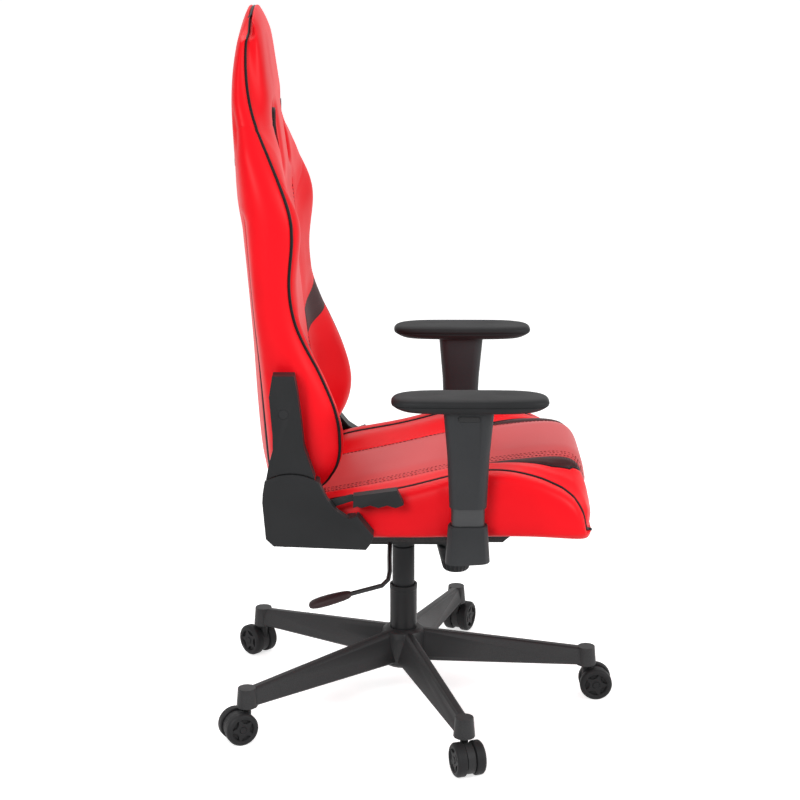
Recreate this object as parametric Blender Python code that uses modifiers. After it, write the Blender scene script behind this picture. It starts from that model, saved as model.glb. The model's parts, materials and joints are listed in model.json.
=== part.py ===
"""Racing-style swivel chair: five-star base, gas lift, tilt mechanism, reclining back, height-adjustable arms.

Metres, +Z up, the sitter faces +X. The origin is where the swivel axis meets the floor.
"""

import math

import bmesh
import bpy
from mathutils import Matrix, Vector

GAP = 0.0003  # between pieces that touch
RUNNING_GAP = 0.0006  # between pieces that slide or turn in each other

# Five-star base and casters
LEG_COUNT = 5
LEG_REACH = 0.342  # swivel axis to caster stem
LEG_END_RADIUS = 0.019
LEG_HUB_TOP = 0.136
LEG_HUB_BOTTOM = 0.078
LEG_TIP_TOP = 0.097
LEG_TIP_BOTTOM = 0.0655
LEG_RIDGE_WIDTH = 0.016
LEG_ROOT_WIDTH = 0.046
LEG_TIP_WIDTH = 0.030
HUB_RADIUS = 0.041
HUB_TOP = 0.139
HUB_BOTTOM = 0.068
SOCKET_DEPTH = 0.028

WHEEL_RADIUS = 0.030
WHEEL_INNER = 0.0085  # half of the gap between the two wheels
WHEEL_OUTER = 0.026
WHEEL_EDGE = 0.005
AXLE_RADIUS = 0.004
CASTER_TRAIL = 0.018
CASTER_WEB_RADIUS = 0.0265
CASTER_BOSS_RADIUS = 0.0115
CASTER_NECK_RADIUS = 0.0072
CASTER_SEAT = 0.0015  # how far the socket stands below the leg
STEM_RADIUS = 0.0055
STEM_FOOT = 0.044
CASTER_TURNS = (0, -72, 207, 134, 66)  # resting swivel of each caster, degrees
LEG_ANGLES = tuple(360 / LEG_COUNT * leg for leg in (0, -1, -2, 2, 1))

# Gas lift
COLUMN_RADIUS = 0.025
COLUMN_BORE = 0.0224
COLUMN_LOW_BORE = 0.0160
COLUMN_FOOT = 0.066
COLUMN_TOP = 0.223
COLUMN_FLOOR = 0.0035
BUSH_BOTTOM = 0.100
BUSH_TOP = 0.146
PISTON_RADIUS = 0.014
PISTON_BOTTOM = 0.118
PISTON_TOP = 0.338
COVER_RADIUS = 0.0205
COVER_WALL = 0.003
COVER_BOTTOM = 0.205

# Tilt mechanism
HOUSING_BACK = -0.062
HOUSING_FRONT = 0.136
HOUSING_HALF_WIDTH = 0.052
HOUSING_BOTTOM = 0.306
HOUSING_TOP = 0.350
HOUSING_REAR_TOP = 0.331
TILT_X = 0.045
TILT_Z = 0.338
TILT_AXLE_RADIUS = 0.006
KNOB_X = 0.097
KNOB_BOTTOM = 0.250
KNOB_TOP = 0.303
KNOB_BOTTOM_RADIUS = 0.0235
KNOB_TOP_RADIUS = 0.036
SPRING_RADIUS = 0.0165
SPRING_WIRE = 0.0032
SPRING_TURNS = 4
TENSION_BOLT_RADIUS = 0.005
LEVER_X = -0.024
LEVER_Y = -0.062
LEVER_Z = 0.330
LEVER_ROD_RADIUS = 0.0042
LEVER_BOSS_RADIUS = 0.010

# Seat
PLATE_THICKNESS = 0.004
PLATE_BACK = -0.050
PLATE_FRONT = 0.165
PLATE_HALF_WIDTH = 0.100
RAIL_BOTTOM = 0.364
RAIL_HEIGHT = 0.026
RAIL_WIDTH = 0.020
RAIL_Y = 0.170
RAIL_BACK = -0.125
RAIL_FRONT = 0.188
CROSS_WIDTH = 0.028
CROSS_REAR_X = -0.034
CROSS_FRONT_X = 0.148
SEAT_HALF_WIDTH = 0.256
SEAT_GROOVE_Y = 0.128  # where the flat middle panel meets the side bolsters

# Recliner: hidden plates, outer covers and the release lever
PIVOT_X = -0.187
PIVOT_Z = 0.437
SHAFT_RADIUS = 0.006
BRACKET_Y = 0.2590
HINGE_PLATE = 0.004
SPACER_RADIUS = 0.003
ARM_PLATE_Y = 0.2640
LEVER_PLATE_Y = 0.2700
LEVER_PLATE = 0.003
COVER_INNER_Y = 0.2580
BOOT_OUTER_Y = 0.2930
ARM_COVER_OUTER_Y = 0.2890
COVER_SHELL = 0.003
COVER_CHAMFER = 0.006
COVER_SPLIT_RADIUS = 0.0845  # the round joint between the fixed and the moving cover
COVER_SPLIT_GAP = 0.0008
ARM_DISC_RADIUS = 0.033
ARM_TOP = 0.676
ARM_TOP_X = -0.198
ARM_WIDTH = 0.030
PLUG_X = -0.198
PLUG_Z = 0.624
PLUG_RADIUS = 0.008

# Backrest
BACK_SPLIT_Y = 0.150  # centre cushion to side wing
SLOT_Y = 0.075
SLOT_WIDTH = 0.032
SLOT_BOTTOM = 1.008
SLOT_TOP = 1.108
BEZEL_WALL = 0.003
BEZEL_REAR = -0.2945
BEZEL_FRONT = -0.2190
FRAME_TUBE = 0.011
FRAME_Y = 0.132
FRAME_STUB_RADIUS = 0.007
FRAME_STUB_HEIGHTS = (0.556, 0.650)
FRAME_LINE = ((-0.202, 0.520), (-0.197, 0.603), (-0.212, 0.760), (-0.236, 0.930), (-0.257, 1.080))
FRAME_TOP = (-0.262, 1.150)

# Armrests
ARM_Y = 0.2765
ARM_X = 0.110
POST_LENGTH = 0.057
POST_DEPTH = 0.030
POST_BOTTOM = 0.385
POST_TOP = 0.590
SHELL_BOTTOM = 0.460
SHELL_TOP = 0.6295
SHELL_BOTTOM_LENGTH = 0.063
SHELL_TOP_LENGTH = 0.085
SHELL_BOTTOM_DEPTH = 0.037
SHELL_TOP_DEPTH = 0.045
SHELL_CEILING = 0.617
SLEEVE_TOP = 0.429
SLEEVE_BOTTOM = 0.361
SLEEVE_TOP_LENGTH = 0.067
SLEEVE_BOTTOM_LENGTH = 0.076
SLEEVE_DEPTH = 0.040
BRACKET_PLATE = 0.004
BRACKET_LENGTH = 0.056
PAD_LENGTH = 0.264
PAD_WIDTH = 0.088
PAD_THICKNESS = 0.025
PAD_BOTTOM = 0.630
BUTTON_LENGTH = 0.036
BUTTON_HEIGHT = 0.009
BUTTON_DEPTH = 0.004
BUTTON_PROUD = 0.0010
BUTTON_POCKET = 0.0060
BUTTON_Z = 0.6185

ROUND = 24  # facets of a large round piece
SMALL_ROUND = 12
WHEEL_FACETS = 20

FINISHES = {
    "red_leather": ((0.76, 0.012, 0.020), 0.42, 0.0),
    "charcoal_plastic": ((0.045, 0.047, 0.050), 0.55, 0.0),
    "black_steel": ((0.020, 0.020, 0.022), 0.38, 0.9),
    "bright_steel": ((0.55, 0.55, 0.57), 0.25, 1.0),
    "tyre": ((0.030, 0.030, 0.032), 0.75, 0.0),
    "nylon": ((0.035, 0.036, 0.038), 0.60, 0.0),
    "bush": ((0.60, 0.58, 0.52), 0.50, 0.0),
}


def clear_scene():
    for obj in list(bpy.data.objects):
        bpy.data.objects.remove(obj, do_unlink=True)


def new_collection(name):
    made = bpy.data.collections.new(name)
    bpy.context.scene.collection.children.link(made)
    return made


# ---------------------------------------------------------------- helpers


def material_for(obj, finish):
    colour, roughness, metallic = FINISHES[finish]
    material = bpy.data.materials.new(obj.name)
    material.use_nodes = True
    shader = material.node_tree.nodes["Principled BSDF"]
    shader.inputs["Base Color"].default_value = (*colour, 1)
    shader.inputs["Roughness"].default_value = roughness
    shader.inputs["Metallic"].default_value = metallic
    obj.data.materials.clear()
    obj.data.materials.append(material)


def finished(obj, finish, pivot=None):
    """Names the piece's material, shades it and hangs it on its joint's empty, without moving it."""
    material_for(obj, finish)
    if obj.type == "MESH":
        obj.data.shade_smooth()
        obj.data.set_sharp_from_angle(angle=math.radians(30))
    if pivot is not None:
        obj.parent = pivot
        obj.matrix_parent_inverse = Matrix.Translation(-pivot_places[pivot.name])
    return obj


def new_pivot(name, place, parent=None):
    pivot = bpy.data.objects.new(name, None)
    pivot.empty_display_size = 0.03
    parts.objects.link(pivot)
    pivot_places[name] = Vector(place)
    pivot.location = place
    if parent is not None:
        pivot.parent = parent
        pivot.matrix_parent_inverse = Matrix.Translation(-pivot_places[parent.name])
    return pivot


def object_from(name, mesh):
    obj = bpy.data.objects.new(name, mesh)
    parts.objects.link(obj)
    return obj


def from_bmesh(name, bm):
    bmesh.ops.recalc_face_normals(bm, faces=bm.faces)
    mesh = bpy.data.meshes.new(name)
    bm.to_mesh(mesh)
    bm.free()
    return object_from(name, mesh)


def box(name, low, high):
    low, high = Vector(low), Vector(high)
    bm = bmesh.new()
    place = Matrix.Translation((low + high) / 2) @ Matrix.Diagonal((*(high - low), 1))
    bmesh.ops.create_cube(bm, size=1, matrix=place)
    return from_bmesh(name, bm)


def rod_between(name, start, end, radius, end_radius=None, segments=SMALL_ROUND):
    """A cylinder or cone from one point to another."""
    start, end = Vector(start), Vector(end)
    turn = (end - start).to_track_quat("Z", "Y").to_matrix().to_4x4()
    bm = bmesh.new()
    bmesh.ops.create_cone(
        bm,
        cap_ends=True,
        segments=segments,
        radius1=radius,
        radius2=radius if end_radius is None else end_radius,
        depth=(end - start).length,
        matrix=Matrix.Translation((start + end) / 2) @ turn,
    )
    return from_bmesh(name, bm)


def as_mesh(obj):
    """Turns a curve object into a mesh object with welded caps, in the same place."""
    bpy.context.view_layer.update()
    evaluated = obj.evaluated_get(bpy.context.evaluated_depsgraph_get())
    mesh = bpy.data.meshes.new_from_object(evaluated)
    bm = bmesh.new()
    bm.from_mesh(mesh)
    bmesh.ops.remove_doubles(bm, verts=bm.verts, dist=1e-6)
    bmesh.ops.recalc_face_normals(bm, faces=bm.faces)
    bm.transform(obj.matrix_world)
    bm.to_mesh(mesh)
    bm.free()
    name = obj.name
    bpy.data.objects.remove(obj, do_unlink=True)
    made = object_from(name, mesh)
    made.name = name
    return made


def flat_piece(name, outline, low, high, plane="XZ"):
    """An outline in the plane, made as thick as from low to high along the plane's normal."""
    curve = bpy.data.curves.new(name, "CURVE")
    curve.dimensions = "2D"
    curve.fill_mode = "BOTH"
    curve.extrude = (high - low) / 2
    spline = curve.splines.new("POLY")
    spline.points.add(len(outline) - 1)
    for point, (across, up) in zip(spline.points, outline):
        point.co = (across, up, 0, 1)
    spline.use_cyclic_u = True
    obj = bpy.data.objects.new(name, curve)
    parts.objects.link(obj)
    middle = (low + high) / 2
    if plane == "XZ":
        obj.rotation_euler = (math.pi / 2, 0, 0)
        obj.location = (0, middle, 0)
    elif plane == "YZ":
        obj.rotation_euler = (math.pi / 2, 0, math.pi / 2)
        obj.location = (middle, 0, 0)
    else:
        obj.location = (0, 0, middle)
    return as_mesh(obj)


def tube_along(name, points, radius, resolution=2):
    curve = bpy.data.curves.new(name, "CURVE")
    curve.dimensions = "3D"
    curve.bevel_depth = radius
    curve.bevel_resolution = resolution
    curve.use_fill_caps = True
    spline = curve.splines.new("POLY")
    spline.points.add(len(points) - 1)
    for point, place in zip(spline.points, points):
        point.co = (*place, 1)
    obj = bpy.data.objects.new(name, curve)
    parts.objects.link(obj)
    return as_mesh(obj)


def turned(name, profile, steps=ROUND, closed=False):
    """A (radius, height) profile turned round Z. Its outer side runs from top to bottom."""
    mesh = bpy.data.meshes.new(name)
    edges = [(i, i + 1) for i in range(len(profile) - 1)]
    if closed:
        edges.append((len(profile) - 1, 0))
    mesh.from_pydata([(radius, 0, height) for radius, height in profile], edges, [])
    obj = object_from(name, mesh)
    screw = obj.modifiers.new("Turn", "SCREW")
    screw.steps = screw.render_steps = steps
    screw.use_merge_vertices = True
    screw.merge_threshold = 0.00001
    return obj


def loft(name, rings, levels=1):
    """Skins closed rings of equally many points, and closes both ends."""
    bm = bmesh.new()
    rows = [[bm.verts.new(point) for point in ring] for ring in rings]
    count = len(rings[0])
    for row, after in zip(rows, rows[1:]):
        for i in range(count):
            bm.faces.new((row[i], row[(i + 1) % count], after[(i + 1) % count], after[i]))
    bm.faces.new(rows[0])
    bm.faces.new(rows[-1])
    obj = from_bmesh(name, bm)
    if levels:
        soft = obj.modifiers.new("Soften", "SUBSURF")
        soft.levels = soft.render_levels = levels
    return obj


def boolean(obj, other, operation):
    modifier = obj.modifiers.new(operation.title(), "BOOLEAN")
    modifier.operation = operation
    modifier.solver = "EXACT"
    modifier.object = other
    if other.name in parts.objects:
        parts.objects.unlink(other)
        cutters.objects.link(other)
    other.hide_render = True
    other.display_type = "WIRE"


def cut(obj, *others):
    for other in others:
        boolean(obj, other, "DIFFERENCE")
    return obj


def join(obj, *others):
    for other in others:
        boolean(obj, other, "UNION")
    return obj


def bevelled(obj, width, segments=2, angle=40):
    modifier = obj.modifiers.new("Round", "BEVEL")
    modifier.width = width
    modifier.segments = segments
    modifier.limit_method = "ANGLE"
    modifier.angle_limit = math.radians(angle)
    return obj


def arc(centre, radius, start, end, steps):
    """Points on an arc, angles in degrees."""
    angles = [math.radians(start + (end - start) * i / steps) for i in range(steps + 1)]
    return [(centre[0] + radius * math.cos(a), centre[1] + radius * math.sin(a)) for a in angles]


def rounded_rectangle(length, depth, radius, steps=3, centre=(0, 0)):
    """Outline of a rectangle with round corners, anticlockwise."""
    points = []
    for turn, (sx, sy) in enumerate(((1, 1), (-1, 1), (-1, -1), (1, -1))):
        corner = (
            centre[0] + sx * (length / 2 - radius),
            centre[1] + sy * (depth / 2 - radius),
        )
        points += arc(corner, radius, 90 * turn, 90 * turn + 90, steps)
    return points


def inset(outline, distance):
    """The outline moved inwards by the distance. It runs anticlockwise."""
    moved = []
    for i, point in enumerate(outline):
        here = Vector(point)
        before = (here - Vector(outline[i - 1])).normalized()
        after = (Vector(outline[(i + 1) % len(outline)]) - here).normalized()
        normal = Vector((-before.y - after.y, before.x + after.x)).normalized()
        share = max(0.35, normal.dot(Vector((-before.y, before.x))))
        moved.append(tuple(here + normal * distance / share))
    return moved


def chamfer_side(obj, y, width):
    """Cuts the rim of the face that lies at this y."""
    bm = bmesh.new()
    bm.from_mesh(obj.data)
    rim = [
        edge
        for edge in bm.edges
        if all(abs(vertex.co.y - y) < 1e-5 for vertex in edge.verts)
        and any(abs(face.normal.y) < 0.5 for face in edge.link_faces)
    ]
    bmesh.ops.bevel(bm, geom=rim, offset=width, segments=1, affect="EDGES", clamp_overlap=True)
    bm.to_mesh(obj.data)
    bm.free()
    return obj


# ---------------------------------------------------------------- base


def star_leg(angle):
    """A tapered leg with a narrow ridge on top, from the hub to the caster socket."""
    bm = bmesh.new()
    bmesh.ops.create_cube(bm, size=2)
    for vertex in bm.verts:
        outer, side, top = vertex.co.x > 0, vertex.co.y, vertex.co.z > 0
        half = (LEG_TIP_WIDTH if outer else LEG_ROOT_WIDTH) / 2
        if top:
            half = LEG_RIDGE_WIDTH / 2
            height = LEG_TIP_TOP if outer else LEG_HUB_TOP
        else:
            height = LEG_TIP_BOTTOM if outer else LEG_HUB_BOTTOM
        vertex.co = (LEG_REACH if outer else HUB_RADIUS * 0.75, side * half, height)
    bmesh.ops.bevel(bm, geom=bm.edges, offset=0.0035, segments=1, affect="EDGES")
    bm.transform(Matrix.Rotation(math.radians(angle), 4, "Z"))
    return from_bmesh("leg", bm)


def make_base(root):
    base = turned(
        "five_star_base",
        [
            (0, HUB_TOP),
            (HUB_RADIUS - 0.010, HUB_TOP),
            (HUB_RADIUS - 0.003, HUB_TOP - 0.004),
            (HUB_RADIUS, HUB_TOP - 0.014),
            (HUB_RADIUS, HUB_BOTTOM + 0.006),
            (HUB_RADIUS - 0.006, HUB_BOTTOM),
            (0, HUB_BOTTOM),
        ],
    )
    for angle in LEG_ANGLES:
        join(base, star_leg(angle))
    for angle in LEG_ANGLES:
        tip = Matrix.Rotation(math.radians(angle), 3, "Z") @ Vector((LEG_REACH, 0, 0))
        low, high = Vector((*tip.xy, LEG_TIP_BOTTOM - CASTER_SEAT)), Vector((*tip.xy, LEG_TIP_TOP + 0.002))
        join(base, rod_between("leg_end", low, high, LEG_END_RADIUS, LEG_END_RADIUS - 0.003))
    for angle in LEG_ANGLES:
        tip = Matrix.Rotation(math.radians(angle), 3, "Z") @ Vector((LEG_REACH, 0, 0))
        low = Vector((*tip.xy, LEG_TIP_BOTTOM - 0.01))
        high = Vector((*tip.xy, LEG_TIP_BOTTOM - CASTER_SEAT + SOCKET_DEPTH))
        cut(base, rod_between("caster_socket", low, high, STEM_RADIUS + GAP))
    low, high = Vector((0, 0, HUB_BOTTOM - 0.01)), Vector((0, 0, HUB_TOP + 0.01))
    cut(base, rod_between("column_socket", low, high, COLUMN_RADIUS + GAP, segments=ROUND))
    return finished(base, "nylon", root)


def make_caster(number, angle, turn, root):
    """One twin-wheel caster, built round its own stem axis with its trail along local +X."""
    tip = Matrix.Rotation(math.radians(angle), 3, "Z") @ Vector((LEG_REACH, 0, 0))
    swivel = new_pivot(f"caster_swivel_{number}", tip, root)
    swivel.rotation_euler = (0, 0, math.radians(turn))
    boss_top = LEG_TIP_BOTTOM - CASTER_SEAT - RUNNING_GAP

    centre = (CASTER_TRAIL, WHEEL_RADIUS)
    web = WHEEL_INNER - 0.0015
    housing = flat_piece(
        f"caster_housing_{number}",
        arc(centre, CASTER_WEB_RADIUS, 0, 340, 17),
        -web,
        web,
    )
    neck = rod_between("caster_neck", (0, 0, WHEEL_RADIUS + 0.008), (0, 0, boss_top), CASTER_NECK_RADIUS)
    collar_foot = 2 * WHEEL_RADIUS + RUNNING_GAP
    collar = rod_between("caster_collar", (0, 0, collar_foot), (0, 0, boss_top), CASTER_BOSS_RADIUS)
    hole = rod_between(
        "axle_hole", (*centre[:1], -0.02, centre[1]), (*centre[:1], 0.02, centre[1]), AXLE_RADIUS + GAP
    )
    stem_top = LEG_TIP_BOTTOM - CASTER_SEAT + SOCKET_DEPTH - 0.001
    stem = rod_between("caster_stem", (0, 0, STEM_FOOT), (0, 0, stem_top), STEM_RADIUS)
    join(housing, neck, collar, stem)
    cut(housing, hole)

    wheels = turned(
        f"caster_wheels_{number}",
        [
            (0, WHEEL_OUTER),
            (WHEEL_RADIUS - WHEEL_EDGE, WHEEL_OUTER),
            (WHEEL_RADIUS, WHEEL_OUTER - WHEEL_EDGE),
            (WHEEL_RADIUS, WHEEL_INNER),
            (AXLE_RADIUS, WHEEL_INNER),
            (AXLE_RADIUS, -WHEEL_INNER),
            (WHEEL_RADIUS, -WHEEL_INNER),
            (WHEEL_RADIUS, -WHEEL_OUTER + WHEEL_EDGE),
            (WHEEL_RADIUS - WHEEL_EDGE, -WHEEL_OUTER),
            (0, -WHEEL_OUTER),
        ],
        steps=WHEEL_FACETS,
    )
    wheels.location = (CASTER_TRAIL, 0, WHEEL_RADIUS)
    wheels.rotation_euler = (math.pi / 2, 0, 0)
    for piece, finish in ((housing, "nylon"), (wheels, "tyre")):
        finished(piece, finish)
        piece.parent = swivel
    for tool in (neck, collar, stem, hole):
        tool.parent = swivel


def make_gas_lift(root, lift):
    column = turned(
        "gas_lift_tube",
        [
            (COLUMN_RADIUS, COLUMN_TOP),
            (COLUMN_RADIUS, COLUMN_FOOT + 0.004),
            (COLUMN_RADIUS - 0.004, COLUMN_FOOT),
            (0, COLUMN_FOOT),
            (0, COLUMN_FOOT + COLUMN_FLOOR),
            (COLUMN_LOW_BORE, COLUMN_FOOT + COLUMN_FLOOR),
            (COLUMN_LOW_BORE, BUSH_BOTTOM - GAP),
            (COLUMN_BORE, BUSH_BOTTOM - GAP),
            (COLUMN_BORE, COLUMN_TOP),
        ],
        closed=True,
    )
    bush = turned(
        "guide_bush",
        [
            (COLUMN_BORE - GAP, BUSH_TOP),
            (COLUMN_BORE - GAP, BUSH_BOTTOM),
            (PISTON_RADIUS + GAP, BUSH_BOTTOM),
            (PISTON_RADIUS + GAP, BUSH_TOP),
        ],
        closed=True,
    )
    piston = turned(
        "gas_lift_piston",
        [
            (0, PISTON_TOP),
            (PISTON_RADIUS - 0.002, PISTON_TOP),
            (PISTON_RADIUS, PISTON_TOP - 0.03),
            (PISTON_RADIUS, PISTON_BOTTOM),
            (0, PISTON_BOTTOM),
        ],
    )
    cover = turned(
        "column_cover",
        [
            (COVER_RADIUS, HOUSING_BOTTOM - GAP - 0.006),
            (COVER_RADIUS, COVER_BOTTOM),
            (COVER_RADIUS - COVER_WALL, COVER_BOTTOM),
            (COVER_RADIUS - COVER_WALL, HOUSING_BOTTOM - GAP - 0.010),
            (PISTON_RADIUS + GAP, HOUSING_BOTTOM - GAP - 0.006),
            (PISTON_RADIUS + GAP, HOUSING_BOTTOM - RUNNING_GAP),
            (COVER_RADIUS - 0.002, HOUSING_BOTTOM - RUNNING_GAP),
        ],
        closed=True,
    )
    finished(column, "black_steel", root)
    finished(bush, "bush", root)
    finished(piston, "bright_steel", lift)
    finished(cover, "charcoal_plastic", lift)


# ---------------------------------------------------------------- tilt mechanism


def make_mechanism(swivel, tilt):
    outline = [
        (HOUSING_BACK, HOUSING_BOTTOM + 0.010),
        (HOUSING_BACK + 0.014, HOUSING_BOTTOM),
        (HOUSING_FRONT - 0.012, HOUSING_BOTTOM),
        (HOUSING_FRONT, HOUSING_BOTTOM + 0.012),
        (HOUSING_FRONT, HOUSING_TOP),
        (TILT_X - 0.018, HOUSING_TOP),
        (-0.010, HOUSING_REAR_TOP + 0.009),
        (HOUSING_BACK, HOUSING_REAR_TOP),
    ]
    housing = flat_piece("mechanism_housing", outline, -HOUSING_HALF_WIDTH, HOUSING_HALF_WIDTH)
    cut(
        housing,
        rod_between(
            "piston_socket", (0, 0, HOUSING_BOTTOM - 0.02), (0, 0, PISTON_TOP + GAP), PISTON_RADIUS + GAP,
            segments=ROUND,
        ),
        rod_between(
            "axle_bore", (TILT_X, -0.1, TILT_Z), (TILT_X, 0.1, TILT_Z), TILT_AXLE_RADIUS + RUNNING_GAP
        ),
        rod_between(
            "spring_well",
            (KNOB_X, 0, HOUSING_BOTTOM + 0.005),
            (KNOB_X, 0, HOUSING_TOP + 0.02),
            SPRING_RADIUS + SPRING_WIRE + RUNNING_GAP,
            segments=ROUND,
        ),
        rod_between(
            "bolt_hole", (KNOB_X, 0, HOUSING_BOTTOM - 0.02), (KNOB_X, 0, HOUSING_TOP + 0.02),
            TENSION_BOLT_RADIUS + RUNNING_GAP,
        ),
        rod_between(
            "lever_bore",
            (LEVER_X, LEVER_Y - 0.02, LEVER_Z),
            (LEVER_X, -HOUSING_HALF_WIDTH + 0.022, LEVER_Z),
            LEVER_BOSS_RADIUS + RUNNING_GAP,
        ),
    )
    finished(housing, "black_steel", swivel)

    axle = rod_between(
        "tilt_axle",
        (TILT_X, -HOUSING_HALF_WIDTH - 0.008, TILT_Z),
        (TILT_X, HOUSING_HALF_WIDTH + 0.008, TILT_Z),
        TILT_AXLE_RADIUS,
    )
    finished(axle, "bright_steel", tilt)


def spring_points():
    bottom = HOUSING_BOTTOM + 0.005 + SPRING_WIRE + GAP
    top = HOUSING_TOP - SPRING_WIRE - 0.002
    steps = SPRING_TURNS * 10
    points = []
    for i in range(steps + 1):
        angle = 2 * math.pi * SPRING_TURNS * i / steps
        height = bottom + (top - bottom) * i / steps
        points.append((KNOB_X + SPRING_RADIUS * math.cos(angle), SPRING_RADIUS * math.sin(angle), height))
    return points


def make_tension_knob(swivel, knob_pivot):
    finished(tube_along("tension_spring", spring_points(), SPRING_WIRE, 1), "bright_steel", swivel)
    bolt = rod_between(
        "tension_bolt",
        (KNOB_X, 0, KNOB_BOTTOM + 0.02),
        (KNOB_X, 0, HOUSING_TOP - 0.001),
        TENSION_BOLT_RADIUS,
    )
    knob = turned(
        "tension_knob",
        [
            (0, KNOB_TOP - 0.0005),
            (KNOB_TOP_RADIUS - 0.003, KNOB_TOP),
            (KNOB_TOP_RADIUS, KNOB_TOP - 0.004),
            (KNOB_BOTTOM_RADIUS + 0.002, KNOB_BOTTOM + 0.006),
            (KNOB_BOTTOM_RADIUS - 0.002, KNOB_BOTTOM + 0.001),
            (0, KNOB_BOTTOM),
        ],
    )
    cut(
        knob,
        rod_between(
            "knob_bore", (KNOB_X, 0, KNOB_BOTTOM + 0.02 - GAP), (KNOB_X, 0, KNOB_TOP + 0.01),
            TENSION_BOLT_RADIUS + GAP,
        ),
    )
    knob.location = (KNOB_X, 0, 0)
    finished(bolt, "bright_steel", knob_pivot)
    finished(knob, "charcoal_plastic", knob_pivot)


def make_lift_lever(lever):
    rod = [
        (LEVER_X, LEVER_Y + 0.026, LEVER_Z),
        (LEVER_X, -0.150, LEVER_Z - 0.004),
        (LEVER_X + 0.001, -0.205, LEVER_Z - 0.011),
        (LEVER_X - 0.0015, -0.228, LEVER_Z - 0.018),
        (LEVER_X - 0.012, -0.240, LEVER_Z - 0.0245),
        (LEVER_X - 0.060, -0.2470, LEVER_Z - 0.0355),
        (LEVER_X - 0.082, -0.2485, LEVER_Z - 0.0415),
    ]
    finished(tube_along("lift_lever_rod", rod, LEVER_ROD_RADIUS, 1), "bright_steel", lever)
    boss = rod_between(
        "lift_lever_boss",
        (LEVER_X, LEVER_Y, LEVER_Z),
        (LEVER_X, -HOUSING_HALF_WIDTH + 0.022 - RUNNING_GAP, LEVER_Z),
        LEVER_BOSS_RADIUS,
    )
    cut(boss, tube_along("lever_rod_hole", rod, LEVER_ROD_RADIUS + GAP, 1))
    finished(boss, "charcoal_plastic", lever)

    end = Vector(rod[-1])
    along = (Vector(rod[-1]) - Vector(rod[-2])).normalized()
    across = Vector((0, 1, 0))
    up = along.cross(across).normalized()
    if up.z < 0:
        up = -up
    stations = ((-0.020, 0.008, 0.006), (-0.004, 0.013, 0.009), (0.024, 0.016, 0.010),
                (0.046, 0.017, 0.009), (0.059, 0.012, 0.005))
    rings = []
    for distance, half_width, half_height in stations:
        ring = []
        for i in range(10):
            angle = 2 * math.pi * i / 10
            offset = across * math.cos(angle) * half_width + up * math.sin(angle) * half_height
            ring.append(end + along * distance + offset)
        rings.append(ring)
    grip = loft("lift_lever_paddle", rings, 1)
    cut(grip, tube_along("paddle_bore", rod + [tuple(end + along * GAP)], LEVER_ROD_RADIUS + GAP, 1))
    finished(grip, "charcoal_plastic", lever)


# ---------------------------------------------------------------- seat


SEAT_SECTIONS = (
    # x, underside, middle panel, bolster top, half width
    (-0.152, 0.3935, 0.434, 0.440, 0.226),
    (-0.140, 0.3915, 0.439, 0.451, 0.246),
    (-0.100, 0.3908, 0.446, 0.463, 0.253),
    (0.000, 0.3905, 0.467, 0.477, 0.257),
    (0.075, 0.3915, 0.486, 0.501, 0.258),
    (0.150, 0.3925, 0.497, 0.515, 0.258),
    (0.210, 0.3925, 0.505, 0.505, 0.257),
    (0.262, 0.3890, 0.511, 0.484, 0.254),
    (0.302, 0.3850, 0.508, 0.462, 0.248),
    (0.319, 0.3830, 0.482, 0.436, 0.236),
    (0.325, 0.3900, 0.440, 0.420, 0.214),
)


def seat_ring(section):
    x, low, middle, side, half = section
    share = half / SEAT_HALF_WIDTH
    right = [
        (0.080, low),
        (half - 0.050, low),
        (half - 0.010, low + 0.008),
        (half, low + 0.55 * (side - low)),
        (half - 0.006, side - 0.010),
        (half - 0.024, side),
        (half - 0.060, side + 0.10 * (middle - side)),
        (SEAT_GROOVE_Y * share + 0.022, side + 0.70 * (middle - side)),
        (SEAT_GROOVE_Y * share, middle),
        (0.060, middle + 0.001),
    ]
    left = [(-y, z) for y, z in reversed(right)]
    return [(x, y, z) for y, z in right + left]


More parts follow.
